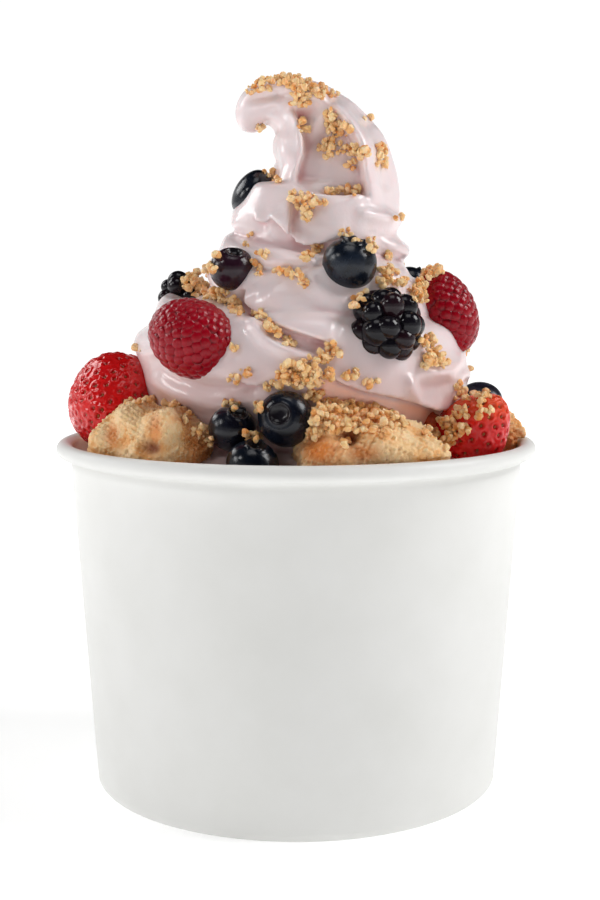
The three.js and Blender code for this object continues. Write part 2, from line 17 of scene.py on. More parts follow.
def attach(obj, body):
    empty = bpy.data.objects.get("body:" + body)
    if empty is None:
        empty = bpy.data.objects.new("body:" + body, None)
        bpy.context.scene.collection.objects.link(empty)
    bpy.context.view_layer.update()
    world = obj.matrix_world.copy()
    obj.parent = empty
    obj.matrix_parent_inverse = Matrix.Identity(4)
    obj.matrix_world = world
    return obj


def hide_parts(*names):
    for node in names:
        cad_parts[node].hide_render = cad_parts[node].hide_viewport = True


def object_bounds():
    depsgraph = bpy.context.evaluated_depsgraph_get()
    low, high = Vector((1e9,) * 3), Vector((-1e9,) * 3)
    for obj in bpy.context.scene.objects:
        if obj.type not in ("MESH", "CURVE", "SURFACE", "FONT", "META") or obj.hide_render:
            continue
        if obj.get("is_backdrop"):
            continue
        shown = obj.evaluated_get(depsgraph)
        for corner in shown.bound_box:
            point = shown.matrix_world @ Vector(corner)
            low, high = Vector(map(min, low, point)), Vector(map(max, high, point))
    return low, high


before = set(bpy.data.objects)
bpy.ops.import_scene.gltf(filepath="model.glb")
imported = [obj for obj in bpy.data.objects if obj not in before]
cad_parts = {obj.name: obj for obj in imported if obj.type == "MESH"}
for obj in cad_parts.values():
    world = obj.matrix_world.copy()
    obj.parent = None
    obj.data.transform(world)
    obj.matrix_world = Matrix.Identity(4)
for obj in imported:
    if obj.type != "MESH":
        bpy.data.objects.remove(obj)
cad_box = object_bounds()

MM = 0.001
SCENE = bpy.context.scene

# ------------------------------------------------------------------ camera

CAMERA = {"place": (0.93, -329.81, 115.559), "pitch_down": 6.619, "lens": 56.1, "sensor": 36}
PHOTO = {"width": 600, "height": 900}
FOCAL = CAMERA["lens"] / CAMERA["sensor"] * PHOTO["height"]
PITCH = math.radians(CAMERA["pitch_down"])


def add_camera():
    data = bpy.data.cameras.new("photo_camera")
    data.lens = CAMERA["lens"]
    data.sensor_width = CAMERA["sensor"]
    data.clip_start = 10 * MM
    camera = bpy.data.objects.new("photo_camera", data)
    camera.location = Vector(CAMERA["place"]) * MM
    camera.rotation_euler = (math.radians(90 - CAMERA["pitch_down"]), 0, 0)
    SCENE.collection.objects.link(camera)
    SCENE.camera = camera


def ray_through(x, y):
    """The camera's place and the direction in which it sees a pixel of the photograph."""
    across = (x - PHOTO["width"] / 2) / FOCAL
    up = (PHOTO["height"] / 2 - y) / FOCAL
    ahead = Vector((0, math.cos(PITCH), -math.sin(PITCH)))
    above = Vector((0, math.sin(PITCH), math.cos(PITCH)))
    way = ahead + Vector((1, 0, 0)) * across + above * up
    return Vector(CAMERA["place"]), way.normalized()


def seen_at(points):
    """Where the camera sees points, in pixels of the photograph."""
    away = points - np.array(CAMERA["place"])
    ahead = away[:, 1] * math.cos(PITCH) - away[:, 2] * math.sin(PITCH)
    above = away[:, 1] * math.sin(PITCH) + away[:, 2] * math.cos(PITCH)
    across = PHOTO["width"] / 2 + FOCAL * away[:, 0] / ahead
    return np.stack([across, PHOTO["height"] / 2 - FOCAL * above / ahead], 1)


# ------------------------------------------------------------------ places and shapes

# Sine waves that make up noise: how many for each size of lump, between which factors their pitch
# varies, what they are divided by, and how much smaller each next size is.
WAVES = {"count": 6, "spread": (0.6, 1.3), "calming": 2.2, "next_size": 0.47}


def around(bearing, distance, level):
    angle = math.radians(bearing)
    return Vector((distance * math.sin(angle), -distance * math.cos(angle), level))


def full_turn(columns):
    return 2 * math.pi * np.arange(columns) / columns


def level_ring(angles, radius, level):
    """Points round the middle axis, at angles from the front."""
    return np.stack([radius * np.sin(angles), -radius * np.cos(angles), level + 0 * angles], 1)


def smooth(values, low, high):
    t = np.clip((np.asarray(values, float) - low) / (high - low), 0, 1)
    return t * t * (3 - 2 * t)


def bell(distance, reach, power=2):
    return np.exp(-((distance / reach) ** power))


def unit(vectors):
    return vectors / np.linalg.norm(vectors, axis=-1, keepdims=True)


def even_directions(count):
    index = np.arange(count)
    height = 1 - (2 * index + 1) / count
    ring = np.sqrt(1 - height * height)
    angle = math.pi * (3 - math.sqrt(5)) * index
    return np.stack([ring * np.cos(angle), ring * np.sin(angle), height], 1)


def packed_directions(count, random, rounds=60, push_share=0.1, longest_step=0.15):
    """Directions that have pushed each other apart until they lie even but irregular."""
    ways = unit(random.normal(size=(count, 3)))
    spacing = math.sqrt(4 * math.pi / count)
    for _ in range(rounds):
        gaps = ways[:, None, :] - ways[None, :, :]
        near = (gaps**2).sum(2) + np.eye(count)
        push = (gaps / near[:, :, None] ** 2).sum(1) * push_share * spacing**4
        length = np.linalg.norm(push, axis=1, keepdims=True)
        ways = unit(ways + push * np.minimum(1, longest_step * spacing / np.maximum(length, 1e-9)))
    return ways


def turned_to(points, pointing):
    """Points turned so that their +Z end points along a direction."""
    turn = Vector((0, 0, 1)).rotation_difference(Vector(pointing).normalized())
    return points @ np.array(turn.to_matrix()).T


def wave_noise(points, size, seed, octaves=3, roughness=0.5):
    """Smooth noise between about -1 and 1, whose largest lumps measure size."""
    random = np.random.default_rng(seed)
    total = np.zeros(len(points))
    weight, reach = 1.0, 0.0
    for _ in range(octaves):
        for _ in range(WAVES["count"]):
            way = unit(random.normal(size=3)) * (2 * math.pi / size) * random.uniform(*WAVES["spread"])
            total += weight * np.sin(points @ way + random.uniform(0, 2 * math.pi)) / WAVES["calming"]
        reach += weight
        weight *= roughness
        size *= WAVES["next_size"]
    return total / reach


def ball(detail):
    """Unit directions and triangles of an even ball."""
    mesh = bmesh.new()
    bmesh.ops.create_icosphere(mesh, subdivisions=detail, radius=1)
    points = np.array([corner.co for corner in mesh.verts])
    faces = [[corner.index for corner in face.verts] for face in mesh.faces]
    mesh.free()
    return unit(points), faces


def closed_tube(rings):
    """Points and faces of a skin over rings, with a fan on each end."""
    rows, columns = len(rings), len(rings[0])
    points = np.concatenate([np.concatenate(rings), [rings[0].mean(0)], [rings[-1].mean(0)]])
    faces = []
    for row in range(rows - 1):
        for column in range(columns):
            a = row * columns + column
            b = row * columns + (column + 1) % columns
            faces.append([a, b, b + columns, a + columns])
    first, last = rows * columns, rows * columns + 1
    for column in range(columns):
        following = (column + 1) % columns
        faces.append([first, following, column])
        faces.append([last, (rows - 1) * columns + column, (rows - 1) * columns + following])
    return points, faces


def round_ball(radii, columns=20, rows=13, lowest=-84, highest=84):
    """A ball between two angles of elevation, closed flat at both ends."""
    rings = []
    angles = full_turn(columns)
    for rise in np.radians(np.linspace(lowest, highest, rows)):
        ring = np.stack([np.cos(angles), np.sin(angles), np.zeros(columns)], 1) * math.cos(rise)
        ring[:, 2] = math.sin(rise)
        rings.append(ring * radii)
    return closed_tube(rings)


def joined(shapes):
    points, faces, offset = [], [], 0
    for shape_points, shape_faces in shapes:
        points.append(shape_points)
        faces.extend([[corner + offset for corner in face] for face in shape_faces])
        offset += len(shape_points)
    return np.concatenate(points), faces


# ------------------------------------------------------------------ pieces


def mesh_object(name, points, faces, material, smooth_faces=True):
    """A mesh object from points in millimetres."""
    mesh = bpy.data.meshes.new(name)
    mesh.from_pydata((np.asarray(points) * MM).tolist(), [], faces)
    mesh.validate()
    mesh.polygons.foreach_set("use_smooth", [smooth_faces] * len(mesh.polygons))
    mesh.materials.append(material)
    mesh.update()
    item = bpy.data.objects.new(name, mesh)
    SCENE.collection.objects.link(item)
    return item


def points_of(item):
    flat = np.empty(len(item.data.vertices) * 3)
    item.data.vertices.foreach_get("co", flat)
    return flat.reshape(-1, 3) / MM


def set_points(item, points):
    item.data.vertices.foreach_set("co", (points * MM).ravel())
    item.data.update()


def add_values(item, **values):
    """Numbers for each corner point, which the material reads by their names."""
    for name, numbers in values.items():
        attribute = item.data.attributes.new(name, "FLOAT", "POINT")
        full = np.broadcast_to(np.asarray(numbers, np.float32), len(item.data.vertices))
        attribute.data.foreach_set("value", np.ascontiguousarray(full))


def finish_piece(item, slot, *replaced):
    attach(item, "root")
    if replaced:
        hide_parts(*replaced)
    return item


def build_berries(kind, table, shape, material, settled=lambda points: points):
    """A piece for each line of a table, shaped upright, then turned, put in its place and settled there."""
    made = []
    for index, (at, half, way) in enumerate(table):
        points, faces, values = shape(half, index)
        points = settled(turned_to(points, way) + np.array(around(*at)))
        item = mesh_object(f"{kind}_look_{index + 1}", points, faces, material)
        add_values(item, **values)
        made.append(finish_piece(item, kind, f"{kind}_{index + 1}"))
    return made


# ------------------------------------------------------------------ materials


def rgba(colour):
    return (*colour, 1) if isinstance(colour, tuple) else colour


class Shader:
    """Short ways to build the nodes of a material or of the world."""

    def __init__(self, owner, surface="Principled BSDF"):
        owner.use_nodes = True
        self.owner = owner
        self.tree = owner.node_tree
        self.surface = self.tree.nodes[surface]
        self.place = self.add("TexCoord").outputs

    def fill(self, node, inputs):
        """Gives inputs of a node, by name or number, a value or a link from another node's output."""
        for name, source in inputs.items():
            if isinstance(source, bpy.types.NodeSocket):
                self.tree.links.new(source, node.inputs[name])
            else:
                node.inputs[name].default_value = source

    def add(self, kind, inputs=None, **settings):
        node = self.tree.nodes.new("ShaderNode" + kind)
        for name, setting in settings.items():
            setattr(node, name, setting)
        self.fill(node, inputs or {})
        return node

    def set(self, **inputs):
        """Fills inputs of the surface, whose names are written with underscores."""
        self.fill(self.surface, {name.replace("_", " "): source for name, source in inputs.items()})

    def noise(self, scale, detail=4, roughness=0.55, distortion=0.0):
        """Noise over the object, with scale in lumps for each millimetre."""
        inputs = {"Vector": self.place["Object"], "Scale": scale / MM, "Detail": detail}
        inputs.update({"Roughness": roughness, "Distortion": distortion})
        return self.add("TexNoise", inputs).outputs["Fac"]

    def value(self, name):
        return self.add("Attribute", attribute_name=name).outputs["Fac"]

    def ramp(self, source, *stops):
        """Colours over a value, from (place, colour) pairs."""
        node = self.add("ValToRGB", {"Fac": source})
        elements = node.color_ramp.elements
        for element, (place, colour) in zip(elements, (stops[0], stops[-1])):
            element.position, element.color = place, rgba(colour)
        for place, colour in stops[1:-1]:
            elements.new(place).color = rgba(colour)
        return node.outputs["Color"]

    def spread(self, source, low, high, to_low=0.0, to_high=1.0, interpolation="LINEAR"):
        inputs = {"Value": source, "From Min": low, "From Max": high, "To Min": to_low, "To Max": to_high}
        return self.add("MapRange", inputs, interpolation_type=interpolation).outputs["Result"]

    def fade(self, source, between, values):
        return self.spread(source, *between, *values, "SMOOTHSTEP")

    def calculate(self, operation, first, second=0.0):
        return self.add("Math", {0: first, 1: second}, operation=operation).outputs["Value"]

    def mix(self, factor, first, second):
        node = self.add("Mix", {0: factor}, data_type="RGBA")
        colours = [index for index, socket in enumerate(node.inputs) if socket.type == "RGBA"]
        self.fill(node, {index: rgba(colour) for index, colour in zip(colours, (first, second))})
        return next(output for output in node.outputs if output.type == "RGBA")

    def tinted(self, colour, **tints):
        """A colour with others over it, each as far as the value of its name says."""
        for name, tint in tints.items():
            colour = self.mix(self.value(name), colour, tint)
        return colour

    def uneven(self, noise, low, high, between=(0.3, 0.7)):
        """Roughness that varies between two values with a noise."""
        self.set(Roughness=self.spread(self.noise(*noise), *between, low, high))

    def scatter(self, weight, radius, depth):
        """Light that spreads under the surface, with depth in millimetres."""
        self.set(Subsurface_Weight=weight, Subsurface_Radius=radius, Subsurface_Scale=depth * MM)

    def bump(self, *layers):
        """Relief from (noise or height, depth in millimetres) pairs, each on top of the last."""
        below = {}
        for source, depth in layers:
            height = self.noise(*source) if isinstance(source, tuple) else source
            node = self.add("Bump", {"Strength": 1.0, "Distance": depth * MM, "Height": height, **below})
            below = {"Normal": node.outputs["Normal"]}
        self.fill(self.surface, below)


def material_shader(name):
    return Shader(bpy.data.materials.new(name))


def paper_material():
    shader = material_shader("white_paper")
    cloud = shader.noise(0.05, 3)
    shader.set(Base_Color=shader.ramp(cloud, (0.3, (0.80, 0.80, 0.775)), (0.7, (0.84, 0.84, 0.82))))
    shader.uneven((0.35, 4), 0.42, 0.52)
    shader.bump(((2.2, 5, 0.6), 0.012), ((0.09, 2), 0.10))
    return shader.owner


def yogurt_material():
    shader = material_shader("frozen_yogurt")
    pink = shader.mix(shader.noise(0.06, 3), (0.82, 0.69, 0.70), (0.85, 0.73, 0.735))
    # Painted shade: these tints make the yogurt pinker low among the fruit, in hollows and in creases, and
    # warmer under the right-hand coil.
    tints = {"low": (0.66, 0.47, 0.455), "hollow_shade": (0.70, 0.45, 0.46), "crease_shade": (0.64, 0.28, 0.28)}
    shader.set(Base_Color=shader.tinted(pink, **tints, warm=(1.0, 0.57, 0.42)))
    shader.uneven((0.12, 3), 0.28, 0.42, between=(0.35, 0.65))
    shader.set(Coat_Weight=0.40, Coat_Roughness=0.10)
    shader.scatter(0.30, (1.0, 0.55, 0.5), 1.8)
    shader.bump(((1.1, 4, 0.6), 0.035), ((0.22, 3), 0.11))
    return shader.owner


def blueberry_material():
    shader = material_shader("blueberry_skin")
    cloud = shader.noise(0.22, 4, 0.6, 0.4)
    bloom = shader.calculate("MULTIPLY", shader.spread(cloud, 0.38, 0.72, 0.15, 1.6), shader.value("bloom"))
    dark = shader.mix(shader.value("purple"), (0.002, 0.003, 0.006), (0.018, 0.004, 0.010))
    waxy = shader.mix(shader.value("purple"), (0.016, 0.025, 0.044), (0.046, 0.026, 0.042))
    shader.set(Base_Color=shader.tinted(shader.mix(bloom, dark, waxy), crown=(0.010, 0.008, 0.011)))
    duller = shader.spread(bloom, 0, 1, 0, 0.08)
    shader.set(Roughness=shader.calculate("ADD", shader.spread(cloud, 0.3, 0.7, 0.15, 0.24), duller))
    shader.set(Specular_IOR_Level=0.34)
    shader.bump(((1.6, 4, 0.6), 0.03), ((0.3, 2), 0.12))
    return shader.owner


def raspberry_material():
    shader = material_shader("raspberry_skin")
    skin = shader.mix(shader.noise(0.16, 3), (0.23, 0.001, 0.007), (0.37, 0.003, 0.014))
    # The grooves between the drupelets' tops are painted a darker red as shade.
    clear_of_groove_shade = shader.spread(shader.value("top"), 0.0, 0.7)
    shader.set(Base_Color=shader.mix(clear_of_groove_shade, (0.14, 0.0, 0.004), skin))
    shader.uneven((0.9, 3), 0.12, 0.24)
    shader.set(Specular_IOR_Level=0.24)
    shader.set(Sheen_Weight=0.15, Sheen_Roughness=0.4, Sheen_Tint=(1.0, 0.7, 0.75, 1))
    shader.scatter(0.12, (1.0, 0.06, 0.06), 1.0)
    shader.bump(((2.4, 3), 0.05), ((0.7, 2), 0.12))
    return shader.owner


def bramble_material():
    shader = material_shader("bramble_skin")
    skin = shader.mix(shader.value("red"), (0.004, 0.003, 0.005), (0.026, 0.004, 0.007))
    shader.set(Base_Color=shader.mix(shader.noise(0.5, 3), skin, (0.009, 0.008, 0.012)))
    shader.uneven((0.8, 3), 0.10, 0.20)
    shader.set(Specular_IOR_Level=0.28)
    shader.bump(((1.2, 2), 0.05))
    return shader.owner


def strawberry_material():
    shader = material_shader("strawberry_skin")
    skin = shader.mix(shader.noise(0.12, 3), (0.60, 0.006, 0.010), (0.74, 0.016, 0.014))
    # The pits round the seeds are painted a darker red as shade; the paler flesh is the cut berry's own
    # colour.
    shader.set(Base_Color=shader.tinted(skin, pit=(0.24, 0.002, 0.003), flesh=(0.86, 0.11, 0.035)))
    shader.uneven((0.8, 3), 0.10, 0.18)
    shader.set(Specular_IOR_Level=0.34)
    shader.scatter(0.15, (1.0, 0.12, 0.08), 1.6)
    shader.bump(((0.9, 3), 0.05), ((0.25, 2), 0.15))
    return shader.owner


def seed_material():
    shader = material_shader("strawberry_seed")
    shader.set(Base_Color=shader.mix(shader.noise(0.6, 2), (0.42, 0.17, 0.035), (0.20, 0.035, 0.012)))
    shader.uneven((1.5, 2), 0.3, 0.45)
    shader.bump(((2.0, 2), 0.03))
    return shader.owner


def cobbler_material():
    shader = material_shader("cobbler_crust")
    pale, golden = (0.30, (0.96, 0.71, 0.44)), (0.48, (0.93, 0.62, 0.32))
    brown, dark = (0.60, (0.86, 0.43, 0.15)), (0.75, (0.52, 0.17, 0.045))
    crust = shader.ramp(shader.noise(0.13, 5, 0.65, 0.3), pale, golden, brown, dark)
    # The pit tint is painted shade in the chunks' pits; toast and crumb are the crust's own colours.
    tints = {"toast": (0.76, 0.23, 0.036), "crumb": (0.90, 0.66, 0.38), "pit": (0.20, 0.045, 0.015)}
    shader.set(Base_Color=shader.tinted(crust, **tints))
    shader.set(Roughness=shader.spread(shader.value("toast"), 0, 1, 0.62, 0.34), Specular_IOR_Level=0.3)
    shader.scatter(0.15, (1.0, 0.5, 0.25), 1.2)
    grains = shader.add("TexVoronoi", {"Vector": shader.place["Object"], "Scale": 1.3 / MM})
    shader.bump((grains.outputs["Distance"], 0.14), ((1.8, 5, 0.65), 0.20), ((0.35, 3), 0.3))
    return shader.owner


def fruit_bit_material():
    shader = material_shader("red_fruit_bit")
    shader.set(Base_Color=shader.mix(shader.noise(0.5, 4), (0.42, 0.050, 0.020), (0.62, 0.130, 0.045)))
    shader.uneven((1.2, 3), 0.25, 0.45)
    shader.bump(((1.4, 4), 0.15), ((0.5, 2), 0.2))
    return shader.owner


def nut_material():
    shader = material_shader("chopped_nut")
    fresh, golden, brown = (0.96, 0.66, 0.33), (0.93, 0.52, 0.19), (0.78, 0.30, 0.065)
    nut = shader.ramp(shader.value("tone"), (0.0, fresh), (0.5, golden), (1.0, brown))
    speckle = shader.spread(shader.noise(0.7, 4), 0.45, 0.75)
    shader.set(Base_Color=shader.mix(speckle, nut, (0.98, 0.78, 0.50)))
    shader.uneven((1.0, 3), 0.36, 0.55)
    shader.scatter(0.15, (1.0, 0.5, 0.2), 0.8)
    shader.bump(((2.4, 4, 0.65), 0.16), ((0.8, 2), 0.16))
    return shader.owner


# ------------------------------------------------------------------ the paper cup

CUP = {
    "height": 80.4,
    "rim_radius": 56.0,
    "roll_width": 3.8,
    "roll_height": 3.6,
    "base_radius": 47.5,
    "wall_top_radius": 52.75,
    "paper": 0.6,
    "foot_paper": 1.8,
    "recess": 7.0,
    "columns": 176,
    "wall_rows": 26,
    "inner_rows": 12,
}
WALL_TOP = CUP["height"] - CUP["roll_height"]
FOOT_INNER = CUP["base_radius"] - CUP["foot_paper"]
CUP_FLOOR = CUP["recess"] + CUP["paper"]
# How far the wall turns in and how far below its top, on its last rings and then under the roll.
WALL_END = [(0.0, 2.4), (0.06, 1.6)]
UNDER_ROLL = [(0.34, 0.9), (0.42, 0.2)]
# The rolled rim, flatter on its outer side than a true circle: its angles in degrees, how far below the
# wall's top the even rings of the wall end, and how far below the rim's top those inside begin.
ROLL = {"from": -112, "to": 166, "points": 26, "flatness": 0.05, "wall_to": 3.2, "inner_from": 2.9}
# How the disc's outer corner and the lower edges of the foot are rounded, and where the wall's rings begin.
FOOT = {"corner": 1.2, "corner_cut": 0.3, "edge": 0.4, "edge_cut": 0.35, "wall_from": 2.0}
# The corner between the inner wall and the floor inside.
FLOOR_CORNER = {"rise": 1.5, "inset": 1.0}
# The glued overlap of the side wall: a small step on the outside, weaker on the rolled rim.
SEAM = {"bearing": 172.0, "width": 9.0, "step": 0.32, "edge": 0.35, "rim_share": 0.55, "rise_share": 0.45}
# Hand-sized unevenness of the thin wall: depth, waves round it, phase and millimetres to the next phase.
WALL_WAVE = {"depth": 0.05, "count": 3, "phase": 0.4, "drift": 40}


def outer_wall(level):
    share = level / WALL_TOP
    return CUP["base_radius"] + (CUP["wall_top_radius"] - CUP["base_radius"]) * share


def inner_wall(level):
    return outer_wall(level) - CUP["paper"]


def cup_profile():
    """Radius and level pairs, from the underside of the disc round the rim to the floor inside."""
    recess, base, top = CUP["recess"], CUP["base_radius"], outer_wall(WALL_TOP)
    corner, cut, edge, edge_cut = FOOT["corner"], FOOT["corner_cut"], FOOT["edge"], FOOT["edge_cut"]
    profile = [(FOOT_INNER * 0.5, recess), (FOOT_INNER - corner, recess), (FOOT_INNER - cut, recess - cut)]
    profile += [(FOOT_INNER, level) for level in (recess - corner, recess / 2, edge)]
    profile += [(FOOT_INNER + edge_cut, 0.0), (base - edge_cut, 0.0), (base, edge)]
    rings = np.linspace(FOOT["wall_from"], WALL_TOP - ROLL["wall_to"], CUP["wall_rows"])
    profile += [(outer_wall(level), level) for level in rings]
    for inset, below in WALL_END:
        profile.append((outer_wall(WALL_TOP - below) - inset, WALL_TOP - below))
    profile += [(top - inset, WALL_TOP - below) for inset, below in UNDER_ROLL]
    middle = (CUP["rim_radius"] - CUP["roll_width"] / 2, CUP["height"] - CUP["roll_height"] / 2)
    for angle in np.radians(np.linspace(ROLL["from"], ROLL["to"], ROLL["points"])):
        flat = min(1.0, 1.0 + ROLL["flatness"] * math.cos(2 * angle))
        across = CUP["roll_width"] / 2 * math.cos(angle) * flat
        profile.append((middle[0] + across, middle[1] + CUP["roll_height"] / 2 * math.sin(angle)))
    inner = np.linspace(CUP["height"] - ROLL["inner_from"], recess + FLOOR_CORNER["rise"], CUP["inner_rows"])
    profile += [(inner_wall(level), level) for level in inner]
    return profile + [(inner_wall(CUP_FLOOR) - FLOOR_CORNER["inset"], CUP_FLOOR)]


def seam_lap(angles, radius):
    """How much the seam stands out at angles round the cup."""
    width, edge = SEAM["width"] / radius, SEAM["edge"] / radius
    offset = (angles - math.radians(SEAM["bearing"])) % (2 * math.pi)
    rising = smooth(offset, 2 * math.pi - width, 2 * math.pi - width * SEAM["rise_share"])
    return np.where(offset > math.pi, rising, 1 - smooth(offset, edge, 2 * edge))


def build_cup():
    angles = full_turn(CUP["columns"])
    rings = []
    for radius, level in cup_profile():
        reach = np.full(len(angles), radius)
        if radius > FOOT_INNER and radius >= inner_wall(level) + 0.1:
            step = SEAM["step"] * (SEAM["rim_share"] if level > WALL_TOP else 1.0)
            reach = np.minimum(reach + step * seam_lap(angles, radius), CUP["rim_radius"])
        wave = np.sin(WALL_WAVE["count"] * angles + WALL_WAVE["phase"] + level / WALL_WAVE["drift"])
        reach = reach + WALL_WAVE["depth"] * wave * (level / CUP["height"])
        rings.append(level_ring(angles, reach, level))
    item = mesh_object("paper_cup", *closed_tube(rings), paper_material())
    return finish_piece(item, "cup", "cup")


# ------------------------------------------------------------------ the frozen yogurt

FILL = {"wall_level": 73.5, "shoulder_radius": 40.0, "shoulder_level": 80.0, "middle_level": 84.0}
# Below the level of the cut the yogurt is a plain plug, a little clear of the paper.
FILL.update({"foot_level": 66.0, "cut_level": 70.0, "plug_level": 69.0, "gap": 0.3, "columns": 96})
# The rope's middle line: turns, then its outer reach, its level and its radius.
ROPE_STATIONS = [
    (-1.0, 36.0, 85.0, 11.0),
    (-0.75, 38.0, 89.5, 11.5),
    (-0.5, 39.5, 93.0, 12.0),
    (-0.25, 40.0, 96.0, 12.6),
    (0.0, 40.0, 97.0, 12.0),
    (0.25, 40.0, 100.5, 13.0),
    (0.5, 38.0, 105.0, 12.2),
    (0.75, 32.5, 109.0, 10.8),
    (1.0, 30.0, 112.2, 10.2),
    (1.2, 25.0, 117.5, 9.6),
    (1.5, 22.5, 122.0, 8.8),
    (1.75, 21.0, 125.0, 8.8),
    (2.0, 20.5, 129.0, 8.8),
    (2.25, 20.4, 131.0, 8.6),
    (2.5, 15.0, 138.0, 6.8),
]
ROPE = {"last_turn": 2.4, "ridges": 7, "ridge_depth": 0.18, "front_depth": 0.05, "ridge_drift": 0.9}
# The front's own folds take the place of the nozzle's even ridges, up to these bearings.
ROPE.update({"tallness": 1.14, "front_ends": (50, 95), "steps_per_turn": 96, "columns": 84})
CORE = {"first_turn": -0.8, "turn_step": 0.4, "depth_in_rope": 0.85, "drop": 4.0, "sides": 15}
LEAN = {"level": 95.0, "offset": 1.8, "growth": 0.0028}
# The peak's middle line in the XZ plane, and its radius.
PEAK_SPINE = [
    (5.5, 122, 13),
    (7.5, 131, 16.5),
    (8.2, 138, 16.4),
    (7.2, 146, 14.6),
    (4.3, 152.0, 11.3),
    (-0.6, 156.5, 7.8),
    (-6.0, 157.7, 6.0),
    (-8.9, 156.5, 5.2),
    (-10.3, 154.2, 4.2),
    (-10.8, 151.0, 1.9),
]
PEAK = {"ridges": 5, "ridge_depth": 0.15, "first_ridge_bearing": -40.0, "rows": 120, "columns": 100}
RIDGE_SHARPNESS = 1.4


def lean_at(level):
    above = np.maximum(0, np.asarray(level) - LEAN["level"])
    return LEAN["offset"] + LEAN["growth"] * above**2


class Curve:
    """A centripetal curve through points, as the part's source uses."""

    def __init__(self, points):
        self.points = np.asarray(points, float)

    def at(self, position):
        """The point at a position counted in spans from the first point."""
        last = len(self.points) - 1
        span = int(min(last - 1, max(0, math.floor(position))))
        part = position - span
        p1, p2 = self.points[span], self.points[span + 1]
        p0 = self.points[span - 1] if span > 0 else 2 * p1 - p2
        p3 = self.points[span + 2] if span + 2 <= last else 2 * p2 - p1
        d0, d1, d2 = (max(1e-4, np.linalg.norm(b - a) ** 0.5) for a, b in ((p0, p1), (p1, p2), (p2, p3)))
        start = ((p1 - p0) / d0 - (p2 - p0) / (d0 + d1) + (p2 - p1) / d1) * d1
        end = ((p2 - p1) / d1 - (p3 - p1) / (d1 + d2) + (p3 - p2) / d2) * d1
        c2 = -3 * p1 + 3 * p2 - 2 * start - end
        c3 = 2 * p1 - 2 * p2 + start + end
        return p1 + start * part + c2 * part**2 + c3 * part**3

    def along(self, position):
        step = 1e-3
        return unit(self.at(position + step) - self.at(position - step))


ROPE_CURVE = Curve([station[1:] for station in ROPE_STATIONS])
ROPE_TURNS = [station[0] for station in ROPE_STATIONS]


def coil_at(turn):
    span = max(index for index, start in enumerate(ROPE_TURNS[:-1]) if start <= turn + 1e-9)
    part = (turn - ROPE_TURNS[span]) / (ROPE_TURNS[span + 1] - ROPE_TURNS[span])
    return ROPE_CURVE.at(span + part)


def star_reach(angle, ridges, depth):
    ridge = ((1 + np.cos(ridges * angle)) / 2) ** RIDGE_SHARPNESS
    return 1 - depth * (1 - ridge)


def rope_shape():
    rings = []
    steps = round((ROPE["last_turn"] - ROPE_TURNS[0]) * ROPE["steps_per_turn"])
    angles = full_turn(ROPE["columns"])
    for step in range(steps + 1):
        turn = ROPE_TURNS[0] + step / ROPE["steps_per_turn"]
        reach, level, radius = coil_at(turn)
        bearing = -360 * turn
        middle = np.array(around(bearing, reach - radius, level))
        middle[0] += lean_at(level)
        outward = np.array(around(bearing, 1, 0))
        aside = smooth(abs((bearing + 180) % 360 - 180), *ROPE["front_ends"])
        depth = ROPE["front_depth"] + (ROPE["ridge_depth"] - ROPE["front_depth"]) * float(aside)
        ridged = radius * star_reach(angles, ROPE["ridges"], depth)
        direction = angles + ROPE["ridge_drift"] * turn
        ring = middle + outward * (ridged * np.cos(direction))[:, None]
        ring[:, 2] += ridged * ROPE["tallness"] * np.sin(direction)
        rings.append(ring)
    return closed_tube(rings)


def core_shape():
    rings = []
    turn = CORE["first_turn"]
    while turn <= ROPE["last_turn"]:
        reach, level, radius = coil_at(turn)
        ring = []
        for side in range(CORE["sides"]):
            inset = CORE["depth_in_rope"] * radius
            point = around(360 * side / CORE["sides"], reach - inset, level - CORE["drop"])
            point.x += lean_at(level)
            ring.append(point)
        rings.append(np.array(ring))
        turn += CORE["turn_step"]
    return closed_tube(rings)


def peak_shape():
    spine = Curve([(x, 0, z) for x, z, _ in PEAK_SPINE])
    girth = Curve([(index, r, 0) for index, (_, _, r) in enumerate(PEAK_SPINE)])
    bearing = full_turn(PEAK["columns"]) + math.radians(PEAK["first_ridge_bearing"])
    back = np.array((0.0, 1.0, 0.0))
    last = len(PEAK_SPINE) - 1
    rings = []
    for row in range(PEAK["rows"] + 1):
        position = last * row / PEAK["rows"]
        side = np.cross(back, spine.along(min(max(position, 0.002), last - 0.002)))
        ridged = star_reach(full_turn(PEAK["columns"]), PEAK["ridges"], PEAK["ridge_depth"])
        reach = girth.at(position)[1] * ridged
        aside, ahead = side * (reach * np.sin(bearing))[:, None], back * (reach * np.cos(bearing))[:, None]
        rings.append(spine.at(position) + aside - ahead)
    return closed_tube(rings)


def fill_shape():
    profile = [
        (inner_wall(FILL["foot_level"]) - FILL["gap"], FILL["foot_level"]),
        (inner_wall(FILL["wall_level"]) - FILL["gap"], FILL["wall_level"]),
        (FILL["shoulder_radius"], FILL["shoulder_level"]),
        (FILL["shoulder_radius"] / 2, FILL["middle_level"]),
    ]
    angles = full_turn(FILL["columns"])
    return closed_tube([level_ring(angles, radius, level) for radius, level in profile])


